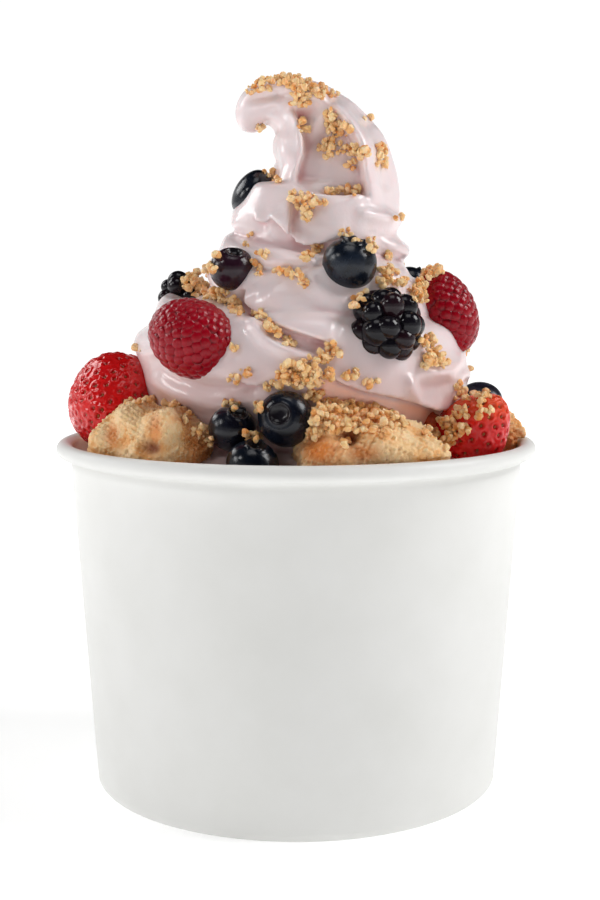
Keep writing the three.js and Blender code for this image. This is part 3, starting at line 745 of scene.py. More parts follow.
class Skin:
    """The points, neighbours and normals of a mesh, for sculpting moves."""

    def __init__(self, item):
        self.item = item
        self.points = points_of(item)
        edges = np.empty(len(item.data.edges) * 2, np.int64)
        item.data.edges.foreach_get("vertices", edges)
        self.edges = edges.reshape(-1, 2)
        self.degree = np.bincount(edges, minlength=len(self.points))[:, None]

    def averaged(self, values):
        total = np.zeros_like(values)
        for axis in range(values.shape[1]):
            for one, other in ((0, 1), (1, 0)):
                neighbours = values[self.edges[:, other], axis]
                total[:, axis] += np.bincount(self.edges[:, one], neighbours, len(values))
        return total / self.degree

    def relaxed(self, values, rounds, share=0.5):
        for _ in range(rounds):
            values = values + share * (self.averaged(values) - values)
        return values

    def normals(self):
        set_points(self.item, self.points)
        flat = np.empty(len(self.points) * 3)
        self.item.data.vertex_normals.foreach_get("vector", flat)
        return flat.reshape(-1, 3)


def remeshed(item, voxel):
    """The item's mesh replaced by one even skin round all its overlapping shapes."""
    modifier = item.modifiers.new("skin", "REMESH")
    modifier.mode = "VOXEL"
    modifier.voxel_size = voxel * MM
    bpy.context.view_layer.update()
    graph = bpy.context.evaluated_depsgraph_get()
    mesh = bpy.data.meshes.new_from_object(item.evaluated_get(graph))
    item.modifiers.clear()
    item.data = mesh
    mesh.polygons.foreach_set("use_smooth", [True] * len(mesh.polygons))


def close_below(item, cut_level, rings):
    """Cuts the skin at a level and closes it downwards through rings of a radius and a level."""
    mesh = bmesh.new()
    mesh.from_mesh(item.data)
    everything = mesh.verts[:] + mesh.edges[:] + mesh.faces[:]
    cut = {"plane_co": (0, 0, cut_level * MM), "plane_no": (0, 0, 1), "dist": 1e-7, "clear_inner": True}
    bmesh.ops.bisect_plane(mesh, geom=everything, **cut)
    loop = [edge for edge in mesh.edges if edge.is_boundary]
    for radius, level in rings:
        made = bmesh.ops.extrude_edge_only(mesh, edges=loop)["geom"]
        for corner in (part for part in made if isinstance(part, bmesh.types.BMVert)):
            flat = Vector((corner.co.x, corner.co.y)).normalized() * radius * MM
            corner.co = (flat.x, flat.y, level * MM)
        loop = [part for part in made if isinstance(part, bmesh.types.BMEdge)]
    bmesh.ops.contextual_create(mesh, geom=loop)
    bmesh.ops.recalc_face_normals(mesh, faces=mesh.faces)
    mesh.to_mesh(item.data)
    mesh.free()
    item.data.polygons.foreach_set("use_smooth", [True] * len(item.data.polygons))
    item.data.update()


# Folds of the swirl's front, each along a line of the photograph's pixels. A step is high on the left
# of its line's direction and low on the right. After the line come the height and the reach in pixels
# of the high side, the same of the low side, over how many pixels the high side rounds down to the
# line, and how many millimetres it laps over the low side.
STEPS = {
    "valley_left": (
        [(296, 186), (296, 175), (299, 163), (303, 151), (303, 139), (300, 127), (296, 115), (291, 104)],
        (1.4, 10), (3.7, 38), 3, 0.5,
    ),
    "valley_right": (
        [(326, 101), (340, 113), (350, 128), (358, 142), (361, 155), (362, 168), (364, 180), (370, 196)],
        (1.3, 10), (3.7, 36), 3, 0.0,
    ),
    "ledge": (
        [(372, 200), (362, 195), (345, 193), (328, 194), (310, 192), (296, 188)],
        (1.5, 12), (2.2, 9), 2, 0.3,
    ),
    "block_edge": ([(296, 241), (293, 225), (291, 208), (289, 195)], (1.0, 10), (2.6, 22), 2, 0.4),
    "v_crease": (
        [(247, 217), (257, 218), (263, 223), (272, 217), (283, 226)]
        + [(295, 238), (303, 243), (320, 241), (336, 236), (352, 233)],
        (1.6, 10), (2.8, 7), 3.5, 1.1,
    ),
    "first_crease": (
        [(243, 287), (249, 301), (256, 309.5), (266, 317), (277, 323)]
        + [(290, 328.5), (304, 333), (319, 338), (332, 342), (343, 348)],
        (1.2, 20), (3.6, 9), 5, 1.5,
    ),
    "low_crease": ([(232, 380), (245, 383), (255, 385), (268, 387)], (0.8, 9), (1.9, 6), 3.5, 0.9),
    "right_underside": (
        [(322, 371), (340, 383), (365, 392), (390, 397), (415, 402), (435, 408), (458, 413)],
        (1.0, 12), (2.8, 26), 6, 1.0,
    ),
}
# Ridges (above zero) and grooves: the line, the height in millimetres and the reach in pixels.
STROKES = {
    "wedge_floor": ([(247, 310), (255, 325), (266, 338), (281, 348), (298, 356), (318, 362)], 1.6, 7),
    "wedge_shade": ([(262, 326), (276, 335), (292, 342), (310, 347), (330, 350)], -1.5, 6),
    "lobe_belly": ([(262, 290), (280, 302), (300, 314), (322, 324), (342, 332)], 1.5, 12),
    "neck_edge": ([(280, 128), (281, 140), (279, 152), (276, 164)], 1.6, 9),
    "left_bulge": ([(240, 212), (238, 224), (236, 236)], 1.4, 9),
    "horn_back": ([(352, 98), (368, 112), (380, 130)], -0.8, 9),
    "lobe_groove": ([(246, 262), (262, 267), (280, 268), (298, 266), (315, 262), (330, 256)], -1.9, 4.5),
    "lobe_ridge": ([(302, 272), (315, 286), (332, 298), (352, 306)], 0.8, 7),
    "left_groove": ([(150, 350), (158, 368), (175, 380), (200, 387), (230, 390), (262, 392)], -1.5, 7),
    "left_ridge": ([(147, 372), (160, 385), (180, 396), (205, 404), (235, 408)], 0.9, 7),
    "gloss_arc_low": ([(408, 372), (411, 384), (419, 395), (432, 401), (447, 399)], 1.5, 5.5),
    "gloss_arc_high": ([(459, 348), (457, 362), (448, 370), (434, 373), (420, 370)], 1.2, 5.5),
    "gloss_valley": ([(414, 378), (428, 386), (444, 387), (460, 380)], -1.2, 6),
    "tip_groove": ([(294, 93), (276, 94), (260, 97), (246, 102)], -1.0, 3.5),
    "tip_ridge": ([(286, 105), (270, 105), (256, 107), (246, 112)], 0.7, 4),
    "tip_shade": ([(288, 112), (274, 110), (262, 113)], -0.7, 3.5),
    "right_fold_1": ([(352, 211), (370, 216), (390, 220), (406, 222)], 1.7, 6),
    "right_notch_1": ([(358, 230), (378, 233), (402, 237)], -0.7, 6),
    "right_fold_2": ([(380, 244), (396, 249), (413, 254)], 1.9, 7),
    "right_notch_2": ([(384, 262), (404, 266)], -0.4, 5),
    "slope_fold": ([(196, 308), (215, 297), (236, 292)], 0.8, 6),
    "ridge_b_face": ([(378, 150), (384, 172), (388, 195)], -0.8, 7),
    "coil_shoulder": ([(472, 336), (476, 348), (475, 362)], 2.2, 8),
    "right_saddle": ([(404, 268), (416, 273), (428, 278)], -2.0, 8),
    "coil_tuck": ([(476, 372), (475, 384), (468, 396)], -2.4, 9),
}
# Over how many pixels a fold fades in at each end of its line.
STROKE_END = 13.0
# How far a lap reaches back from its edge, in pixels, and how much of it is tucked in below.
LAP = {"reach": 12.0, "tuck": 0.8, "tuck_reach": 8.0}
# Folds come in between two values of how much the skin faces the camera, and move partly towards it.
# The low side of a step falls off by a power of its own.
FRONT = {"facing": (-0.35, 0.05), "towards_camera": 0.35, "low_power": 1.5, "calm_rounds": 4}
# The warm shade under the right-hand coil: its reach and where it begins below the line, in pixels.
WARM = {"reach": 24.0, "begins": (1, 6), "facing": (-0.2, 0.2)}
# Low on the swirl, among the fruit, the yogurt is painted a pinker shade: the levels between which, and how
# much.
LOW_SHADE = {"levels": (106.0, 91.0), "strength": 0.8}
# The painted shade of hollows and creases, a deeper pink: rounds of smoothing that show them, and the depths
# between which it comes.
HOLLOW_SHADES = {"crease_shade": (24, 0.15, 0.9), "hollow_shade": (160, 0.2, 2.2)}
# The sizes of the skin's voxels, before and after the folds, and the rounds that smooth it each time.
SKIN = {"first_voxel": 0.5, "last_voxel": 0.6, "first_rounds": 4, "last_rounds": 1, "hollow_rounds": 3}


def distance_to_line(places, line):
    """Distance to a line, its side (positive on the left), a taper at its ends and the way to its right."""
    line = np.array(line, float)
    nearest = np.full(len(places), np.inf)
    side = np.ones(len(places))
    taper = np.zeros(len(places))
    rightward = np.zeros((len(places), 2))
    lengths = np.linalg.norm(np.diff(line, axis=0), axis=1)
    walked, total = 0.0, lengths.sum()
    for start, end, length in zip(line[:-1], line[1:], lengths):
        way = (end - start) / length
        along = np.clip((places - start) @ way, 0, length)
        offset = places - (start + along[:, None] * way)
        distance = np.linalg.norm(offset, axis=1)
        closer = distance < nearest
        nearest = np.where(closer, distance, nearest)
        turn = way[1] * offset[:, 0] - way[0] * offset[:, 1]
        side = np.where(closer, np.sign(turn), side)
        place = walked + along
        ends = smooth(np.minimum(place, total - place), 0, STROKE_END)
        taper = np.where(closer, ends, taper)
        rightward[closer] = -way[1], way[0]
        walked += length
    return nearest, side, taper, rightward


def fold_front(skin):
    """Moves the front of the swirl in and out along the photograph's folds."""
    normals = skin.relaxed(skin.normals(), FRONT["calm_rounds"])
    to_camera = unit(np.array(CAMERA["place"]) - skin.points)
    facing = np.einsum("ij,ij->i", unit(normals), to_camera)
    weight = smooth(facing, *FRONT["facing"])
    places = seen_at(skin.points)
    move = np.zeros(len(places))
    slide = np.zeros((len(places), 3))
    for line, (high, high_reach), (low, low_reach), rounding, lap in STEPS.values():
        distance, side, taper, rightward = distance_to_line(places, line)
        rise = np.sqrt(1 - (1 - np.minimum(1, distance / rounding)) ** 2)
        up = high * rise * bell(distance, high_reach) - low * (1 - rise)
        down = -low * bell(distance, low_reach, FRONT["low_power"])
        move += taper * np.where(side > 0, up, down)
        beyond = np.maximum(0, distance - rounding)
        over = lap * (rise * bell(beyond, LAP["reach"]) - LAP["tuck"] * (1 - rise))
        under = -lap * LAP["tuck"] * bell(distance, LAP["tuck_reach"])
        aside = taper * np.where(side > 0, over, under)
        slide += np.stack([rightward[:, 0], np.zeros(len(places)), -rightward[:, 1]], 1) * aside[:, None]
    for line, height, reach in STROKES.values():
        distance, _, taper, _ = distance_to_line(places, line)
        move += taper * height * bell(distance, reach)
    way = unit(unit(normals) + FRONT["towards_camera"] * to_camera)
    skin.points = skin.points + weight[:, None] * (way * move[:, None] + slide)


def warm_underside(skin, normals):
    """How much each point lies in the warm shade under the right-hand coil."""
    line, *_ = STEPS["right_underside"]
    distance, side, taper, _ = distance_to_line(seen_at(skin.points), line)
    front = smooth(-normals[:, 1], *WARM["facing"]) * (skin.points[:, 1] < 0)
    below = (side < 0) * smooth(distance, *WARM["begins"])
    return front * taper * below * bell(distance, WARM["reach"])


def hollowness(skin, normals, rounds, low, high):
    """How far the skin lies below its surroundings at each point, from 0 to 1."""
    wide = skin.relaxed(skin.points, rounds)
    depth = np.einsum("ij,ij->i", wide - skin.points, normals)
    return smooth(skin.relaxed(depth[:, None], SKIN["hollow_rounds"])[:, 0], low, high)


def build_yogurt():
    points, faces = joined([fill_shape(), core_shape(), peak_shape(), rope_shape()])
    item = mesh_object("yogurt_swirl", points, faces, yogurt_material())
    remeshed(item, SKIN["first_voxel"])
    skin = Skin(item)
    skin.points = skin.relaxed(skin.points, SKIN["first_rounds"])
    fold_front(skin)
    set_points(item, skin.points)
    remeshed(item, SKIN["last_voxel"])
    skin = Skin(item)
    skin.points = skin.relaxed(skin.points, SKIN["last_rounds"])
    normals = skin.normals()
    # How deep each point lies in a hollow or crease, which the material paints as shade.
    for name, (rounds, low, high) in HOLLOW_SHADES.items():
        add_values(item, **{name: hollowness(skin, normals, rounds, low, high)})
    # Painted shade: the yogurt turns pinker towards the bottom of the swirl.
    painted_low_shade = LOW_SHADE["strength"] * smooth(skin.points[:, 2], *LOW_SHADE["levels"])
    add_values(item, warm=warm_underside(skin, normals), low=painted_low_shade)
    levels = (FILL["plug_level"], CUP_FLOOR + FILL["gap"])
    close_below(item, FILL["cut_level"], [(inner_wall(level) - FILL["gap"], level) for level in levels])
    return finish_piece(item, "frozen_yogurt", "frozen_yogurt")


# ------------------------------------------------------------------ berries

# Where each berry's middle lies (bearing, distance, level), its half width and half height, and the
# way that its crown or tip points, as in the part's source.
BLUEBERRIES = [
    ((-2.8, 41.6, 88.6), (5.8, 5.3), (-0.25, -0.92, 0.3)),
    ((-19.2, 40.2, 86.2), (5.0, 4.6), (0.3, -0.5, 0.8)),
    ((-11.0, 46.0, 79.4), (5.5, 5.0), (0.2, -0.3, 0.93)),
    ((24.7, 27.9, 120.6), (6.0, 5.6), (0.1, -0.25, 0.96)),
    ((-34.4, 24.5, 119.5), (4.9, 4.7), (0.1, -0.45, 0.88)),
    ((-78.8, 10.3, 137.0), (5.9, 4.0), (0.8, 0.2, -0.55)),
    ((105.0, 46.5, 87.7), (5.6, 4.3), (0.1, 0.6, -0.8)),
    ((104.0, 28.2, 115.9), (4.6, 4.3), (0.7, 0.2, 0.68)),
    ((163.0, 29.0, 119.0), (5.6, 5.2), (0.1, 0.4, 0.9)),
    ((-158.0, 45.0, 88.6), (5.6, 5.1), (-0.2, 0.9, 0.4)),
    ((-141.0, 45.4, 87.0), (5.0, 4.6), (-0.4, 0.5, 0.77)),
]
RASPBERRIES = [
    ((-36.8, 36.4, 104.6), (8.5, 10.2), (0.88, -0.25, -0.4)),
    ((72.3, 35.6, 110.2), (6.9, 10.1), (0.42, -0.2, -0.88)),
    ((-166.0, 40.0, 103.5), (8.8, 9.4), (-0.2, 0.85, -0.45)),
]
BRAMBLES = [
    ((32.0, 36.0, 107.4), (8.2, 8.4), (0.3, -0.9, -0.3)),
    ((-103.0, 27.2, 112.8), (6.2, 6.6), (-0.6, -0.2, 0.75)),
    ((136.0, 35.0, 108.0), (7.8, 8.2), (0.6, 0.7, -0.35)),
]
STRAWBERRIES = [
    ((-80.2, 41.5, 88.0), (11.3, 11.5), (0.0, -0.97, -0.25)),
    ((62.0, 45.2, 84.6), (7.6, 9.4), (0.5, -0.5, 0.7)),
    ((170.0, 43.4, 86.6), (8.6, 10.2), (0.3, 0.7, -0.65)),
]
# Each kind's first seed: the berries of a kind count on from it.
SEEDS = {"blueberry": 40, "raspberry": 60, "bramble": 80, "strawberry": 90}
# The room for what lies in the cup: a gap to the wall and to the rim's level, the radius under the
# rolled rim, and above the rim a radius that grows within some millimetres.
ROOM_INSIDE = {"gap": 0.3, "under_rim": 51.85, "over_rim": 54.1, "growth": 1.6, "within": 3.5}


def inside_cup(points):
    """Points moved in from the cup's wall and from under its rolled rim."""
    levels, gap = points[:, 2], ROOM_INSIDE["gap"]
    radii = np.hypot(points[:, 0], points[:, 1])
    beside_wall = inner_wall(np.minimum(levels, WALL_TOP)) - gap
    limit = np.where(levels < WALL_TOP, beside_wall, ROOM_INSIDE["under_rim"])
    over = np.clip((levels - CUP["height"] - gap) / ROOM_INSIDE["within"], 0, 1)
    above_rim = ROOM_INSIDE["over_rim"] + over * ROOM_INSIDE["growth"]
    limit = np.where(levels > CUP["height"] + gap, above_rim, limit)
    scale = np.minimum(1, limit / np.maximum(radii, 1e-6))
    moved = points.copy()
    moved[:, :2] *= scale[:, None]
    return moved


# How purple each blueberry is, how much waxy bloom it has kept, and how far its crown stands up.
BLUEBERRY_TONES = [
    (0.05, 0.35, 0.08), (0.1, 0.25, 1.0), (0.0, 0.2, 0.8), (0.0, 0.45, 1.0), (1.0, 0.25, 0.12),
    (0.0, 0.3, 1.0), (0.3, 0.5, 0.8), (0.0, 0.3, 1.0), (0.2, 0.5, 1.0), (0.1, 0.6, 0.9), (0.6, 0.4, 0.6),
]
# A berry's mesh, the elevations in degrees of its skin and of the level that its crown is measured from,
# and how far it is from round.
BLUEBERRY = {"columns": 64, "skin_rows": 34, "skin_angles": (-88, 58), "top_angle": 60, "squareness": 0.03}
BLUEBERRY.update({"oval": 0.018, "three_sided": 0.01, "last_phase": 6})
# The star of the crown: its points, how they narrow and differ, how they spread and sink.
SEPALS = {"count": 5, "sharpness": 1.6, "difference": 0.25, "flare": 0.12, "sunk": 0.3}
# Rings of the crown from outside in: share of the berry's width, height above the skin's top, how far
# the star's points lift it, and how much it has the crown's colour.
CROWN_RINGS = [
    (0.47, 0.14, 0.02, 0.0),
    (0.43, 0.34, 0.16, 0.3),
    (0.40, 0.44, 0.34, 0.9),
    (0.36, 0.40, 0.34, 1.0),
    (0.32, 0.10, 0.16, 1.0),
    (0.28, -0.32, 0.04, 1.0),
    (0.21, -0.62, 0.0, 0.9),
    (0.12, -0.68, 0.0, 0.8),
    (0.05, -0.70, 0.0, 0.8),
]
# Rings with more of the crown's colour than the first share spread out. The crater's middle has the second.
FLARING_FROM, CRATER = 0.2, 0.8


def blueberry_shape(half, index):
    """A round berry with a star-shaped, open crown on its +Z end."""
    random = np.random.default_rng(SEEDS["blueberry"] + index)
    purple, bloom, standing = BLUEBERRY_TONES[index]
    width, height = half
    angles = full_turn(BLUEBERRY["columns"])

    def waves(count):
        return count * angles + random.uniform(0, BLUEBERRY["last_phase"])

    lobes = ((1 + np.cos(waves(SEPALS["count"]))) / 2) ** SEPALS["sharpness"]
    lobes = lobes * (1 + SEPALS["difference"] * np.sin(waves(2)))
    uneven = 1 + BLUEBERRY["oval"] * np.cos(waves(2)) + BLUEBERRY["three_sided"] * np.cos(waves(3))
    rings, crowns = [], []
    for rise in np.radians(np.linspace(*BLUEBERRY["skin_angles"], BLUEBERRY["skin_rows"])):
        squared = 1 + BLUEBERRY["squareness"] * math.sin(2 * rise) ** 2
        rings.append(level_ring(angles, width * math.cos(rise) * squared * uneven, height * math.sin(rise)))
        crowns.append(0.0)
    top = height * math.sin(math.radians(BLUEBERRY["top_angle"]))
    for share, above, lift, crown in CROWN_RINGS:
        level = top + above
        flare = 1 + SEPALS["flare"] * standing * lobes * (crown > FLARING_FROM)
        sunk = level - SEPALS["sunk"] * (1 - standing) * (level > top)
        rings.append(level_ring(angles, width * share * flare, sunk + lift * standing * lobes))
        crowns.append(crown)
    crown = np.concatenate([np.repeat(crowns, len(angles)), [0.0, CRATER]])
    return *closed_tube(rings), {"crown": crown, "purple": purple, "bloom": bloom}


# Small drupelets: their pitch and sizes in millimetres, how far the core lies below, the area that each
# takes as a share of its pitch squared, how their sizes differ, the shares of a dome's height between
# which its top begins, and how far it leans at random.
DRUPELET = {"pitch": 2.25, "radius": 1.8, "height": 1.15, "sunk_core": 0.6, "packing": 0.866}
DRUPELET.update({"sizes": (0.93, 1.08), "top": (0.5, 0.85), "lean": 0.12})
# Columns and rows of small balls, and the elevation in degrees at which a dome begins.
DOME_GRID, CORE_GRID, GRAIN_GRID = (12, 6, 6), (32, 20), (6, 4)


def raspberry_shape(half, index):
    """An egg-shaped core closely covered with small domes, and how near each point is to a dome's top."""
    random = np.random.default_rng(SEEDS["raspberry"] + index)
    egg = np.array([half[0], half[0], half[1]])
    mean = (egg.prod()) ** (1 / 3)
    count = round(4 * math.pi * mean**2 / (DRUPELET["packing"] * DRUPELET["pitch"] ** 2))
    core, core_faces = round_ball(egg - DRUPELET["sunk_core"], *CORE_GRID)
    shapes, tops = [(core, core_faces)], [np.zeros(len(core))]
    for way in packed_directions(count, random):
        outward = unit(way / egg)
        size = random.uniform(*DRUPELET["sizes"])
        radii = np.array([DRUPELET["radius"], DRUPELET["radius"], DRUPELET["height"]]) * size
        points, faces = round_ball(radii, *DOME_GRID)
        # How near each point is to a dome's top; lower down the material paints shade in the grooves.
        tops.append(smooth(points[:, 2] / radii[2], *DRUPELET["top"]))
        points = turned_to(points, outward + DRUPELET["lean"] * random.normal(size=3))
        shapes.append((points + way * egg - outward * radii[2], faces))
    return *joined(shapes), {"top": np.concatenate(tops)}


# Large drupelets, each a ball of its own on a small core: how many lie on a berry of a half width, their
# radius as a share of their spacing, how deep they sit, how they differ, and the core's size and redness.
BALLS = {"count": 30, "half_width": 8.2, "count_power": 0.8, "radius": 0.545, "depth": 0.86}
BALLS.update({"scatter": 0.09, "sizes": (0.86, 1.12), "widths": (0.92, 1.05), "heights": (0.9, 1.05)})
BALLS.update({"core": 0.74, "core_red": 0.3, "red_power": 3})


def bramble_shape(half, index):
    """A dark berry of large round drupelets, and how red each of them is."""
    random = np.random.default_rng(SEEDS["bramble"] + index)
    egg = np.array([half[0], half[0], half[1]])
    count = round(BALLS["count"] * (half[0] / BALLS["half_width"]) ** BALLS["count_power"])
    spacing = math.sqrt(4 * math.pi / count) * half[0]
    core, core_faces = round_ball(egg * BALLS["core"], *CORE_GRID)
    shapes, reds = [(core, core_faces)], [np.full(len(core), BALLS["core_red"])]
    for way in unit(even_directions(count) + BALLS["scatter"] * random.normal(size=(count, 3))):
        size = spacing * BALLS["radius"] * random.uniform(*BALLS["sizes"])
        middle = way * (egg - BALLS["depth"] * size)
        spans = (BALLS["widths"], BALLS["widths"], BALLS["heights"])
        points, faces = round_ball(size * np.array([random.uniform(*span) for span in spans]))
        shapes.append((turned_to(points, way) + middle, faces))
        reds.append(np.full(len(points), random.uniform(0, 1) ** BALLS["red_power"]))
    return *joined(shapes), {"red": np.concatenate(reds)}


# Strawberries narrow towards the tip. The second one turns to a paler orange red between two levels.
STRAWBERRY = {"taper": 0.3, "detail": 6, "lumps": 0.03, "lump_size": 1.6, "seed_scatter": 0.03}
PALE_TOP = {"index": 1, "levels": (85.0, 91.0), "strength": 0.8}
# The skin's area for each seed's pit in square millimetres, then the pit's and its swollen rim's sizes.
PIT = {"area": 8.0, "reach": 0.52, "depth": 0.55, "rim_at": 0.92, "rim_reach": 0.36, "rim": 0.28}
GRAIN = {"half": (0.30, 0.48, 0.20), "sunk": 0.36}


def strawberry_shape(half, index):
    """The skin with its pits, and one small seed in each pit."""
    seed = SEEDS["strawberry"] + index
    random = np.random.default_rng(seed)

    def skin_at(ways):
        girth = half[0] * (1 - STRAWBERRY["taper"] * ways[:, 2])
        return ways * np.stack([girth, girth, np.full(len(ways), half[1])], 1)

    def lumps_at(ways):
        return 1 + STRAWBERRY["lumps"] * wave_noise(ways, STRAWBERRY["lump_size"], seed, 2)

    ways, faces = ball(STRAWBERRY["detail"])
    pits = round(4 * math.pi * half[0] * half[1] / PIT["area"])
    middles = unit(even_directions(pits) + STRAWBERRY["seed_scatter"] * random.normal(size=(pits, 3)))
    places = skin_at(ways) * lumps_at(ways)[:, None]
    gaps = np.linalg.norm(places[:, None, :] - skin_at(middles)[None, :, :], axis=2).min(1)
    pit = bell(gaps, PIT["reach"])
    swell = bell(gaps - PIT["rim_at"], PIT["rim_reach"])
    places = places * (1 - (PIT["depth"] * pit - PIT["rim"] * swell) / half[0])[:, None]
    shapes = [(places, faces)]
    for way in middles:
        point = skin_at(way[None, :])[0] * lumps_at(way[None, :])[0]
        grain, grain_faces = round_ball(np.array(GRAIN["half"]), *GRAIN_GRID)
        shapes.append((turned_to(grain, way) + point * (1 - GRAIN["sunk"] / half[0]), grain_faces))
    points, faces = joined(shapes)
    # The pit values also paint shade into the pits.
    return points, faces, {"pit": np.concatenate([pit, np.zeros(len(points) - len(pit))])}


def build_strawberries():
    made = build_berries("strawberry", STRAWBERRIES, strawberry_shape, strawberry_material(), inside_cup)
    grains = seed_material()
    _, skin_faces = ball(STRAWBERRY["detail"])
    for index, item in enumerate(made):
        item.data.materials.append(grains)
        is_grain = np.arange(len(item.data.polygons)) >= len(skin_faces)
        item.data.polygons.foreach_set("material_index", is_grain.astype(np.int32))
        strength = PALE_TOP["strength"] if index == PALE_TOP["index"] else 0.0
        add_values(item, flesh=strength * smooth(points_of(item)[:, 2], *PALE_TOP["levels"]))
    return made


# ------------------------------------------------------------------ cobbler

# Bearing, distance and level of each chunk's middle, its half sizes along the cup's wall, across it
# and upwards, and the seed of its lumps, as in the part's source.
COBBLER_CHUNKS = [
    ((-49.5, 41.0, 79.4), (17.6, 10.5, 11.8), 103),
    ((20.8, 41.0, 79.0), (16.9, 11.0, 11.8), 102),
    ((92.0, 47.4, 79.8), (8.0, 6.8, 7.6), 67),
    ((132.0, 41.5, 79.6), (14.0, 10.0, 11.4), 14),
    ((-170.0, 42.0, 76.0), (13.0, 9.6, 9.4), 15),
    ((-118.0, 41.5, 79.4), (14.5, 10.0, 11.8), 16),
]
# The chunks at the front have finer meshes.
CHUNK_DETAIL = {"front": 7, "front_count": 2, "others": 6}
# How many waves make the source's lumps and crags, how high and close they are, and how they differ.
CRUST = {"lumps": (4, 0.05, 4, 2), "crags": (5, 0.03, 9, 4)}
# Finer relief: size, added seed, octaves and roughness of each noise, then heights in millimetres.
RELIEF = {"crags": (5.5, 0, 3, 0.6), "grain": (1.2, 100, 2, 0.8), "crumbly": (6.0, 200, 2, 0.5)}
RELIEF.update({"crag_height": 0.30, "grain_height": 0.14, "crumbly_height": 0.24})
# Pale crumbs show on high grains, less where the crust is toasted.
CRUMB = {"patches": (-0.5, 0.4), "crag_share": 0.5, "between": (0.35, 1.1), "toasted": 0.8}
# Places in the photograph where a chunk is pitted, or baked to a deeper orange: the pixel, the reach
# across and down, the depth in millimetres, how dark its pit's painted shade is, and how orange it is.
CRUST_MARKS = [
    ((150, 447), (10, 8), 1.8, 0.9, 0.5),
    ((112, 436), (7, 14), 0.3, 0.0, 0.9),
    ((155, 428), (7, 14), 0.5, 0.0, 0.8),
    ((205, 450), (20, 22), 0.6, 0.28, 0.8),
    ((190, 418), (22, 6), 0.2, 0.0, 0.6),
    ((349, 434), (10, 11), 2.6, 1.0, 0.6),
    ((362, 452), (16, 10), 0.8, 0.15, 0.9),
    ((374, 418), (8, 14), 0.3, 0.0, 0.8),
    ((322, 452), (22, 14), -1.2, 0.0, 1.0),
    ((505, 440), (22, 20), 0.0, 0.2, 0.9),
]
MARK = {"facing": (-0.1, 0.3), "power": 1.3}


def source_random(seed):
    """The same draws as the part's source makes, so that both have the same chunks."""
    state = seed & 0xFFFFFFFF

    def draw():
        nonlocal state
        state = (state + 0x6D2B79F5) & 0xFFFFFFFF
        mixed = ((state ^ (state >> 15)) * (1 | state)) & 0xFFFFFFFF
        mixed = ((mixed + (((mixed ^ (mixed >> 7)) * (61 | mixed)) & 0xFFFFFFFF)) & 0xFFFFFFFF) ^ mixed
        return ((mixed ^ (mixed >> 14)) & 0xFFFFFFFF) / 4294967296

    return draw


def lumpy_reach(ways, seed):
    """How far the chunk of the part's source reaches in each direction."""
    draw = source_random(seed)
    reach = np.ones(len(ways))
    for count, height, pitch, spread in CRUST.values():
        for _ in range(count):
            way = unit(np.array([draw() - 0.5, draw() - 0.5, draw() - 0.5]))
            own_pitch = pitch + spread * draw()
            phase = 2 * math.pi * draw()
            reach = reach + height * np.sin(own_pitch * (ways @ way) + phase)
    return reach


def marked(points, outward):
    """Points moved by the photograph's marks, how much painted pit shade they get and how toasted they are.
    """
    pit, toast = np.zeros(len(points)), np.zeros(len(points))
    places = seen_at(points)
    front = smooth(-outward[:, 1], *MARK["facing"])
    for middle, spread, depth, dark, orange in CRUST_MARKS:
        offset = (places - np.array(middle)) / np.array(spread)
        weight = front * np.exp(-((offset**2).sum(1)) ** MARK["power"])
        points = points - outward * (depth * weight)[:, None]
        pit = np.maximum(pit, dark * weight)
        toast = np.maximum(toast, orange * weight)
    return points, pit, toast


def cobbler_shape(at, half, seed, detail):
    """The part's chunk, with finer crags, granules and the photograph's marks."""
    ways, faces = ball(detail)
    points = ways * lumpy_reach(ways, seed)[:, None] * np.array(half)

    def relief(name):
        size, more, octaves, roughness = RELIEF[name]
        return wave_noise(points, size, seed + more, octaves, roughness)

    crags, grain = relief("crags"), relief("grain")
    crumbly = smooth(relief("crumbly"), *CRUMB["patches"])
    outward = unit(points / np.array(half) ** 2)
    grain_height = RELIEF["grain_height"] + RELIEF["crumbly_height"] * crumbly
    points = points + outward * (RELIEF["crag_height"] * crags + grain_height * grain)[:, None]
    cosine, sine = math.cos(math.radians(at[0])), math.sin(math.radians(at[0]))
    turn = np.array([[cosine, -sine, 0], [sine, cosine, 0], [0, 0, 1]])
    outward = outward @ turn.T
    points, pit, toast = marked(points @ turn.T + np.array(around(*at)), outward)
    crumb = smooth(grain + CRUMB["crag_share"] * crags, *CRUMB["between"]) * (1 - CRUMB["toasted"] * toast)
    return inside_cup(points), faces, {"pit": pit, "toast": toast, "crumb": crumb}


def build_cobbler():
    material = cobbler_material()
    made = []
    for index, chunk in enumerate(COBBLER_CHUNKS):
        detail = CHUNK_DETAIL["front" if index < CHUNK_DETAIL["front_count"] else "others"]
        points, faces, values = cobbler_shape(*chunk, detail)
        item = mesh_object(f"cobbler_look_{index + 1}", points, faces, material)
        add_values(item, **values)
        made.append(finish_piece(item, "cobbler", f"cobbler_chunk_{index + 1}"))
    return made


# ------------------------------------------------------------------ chopped nuts

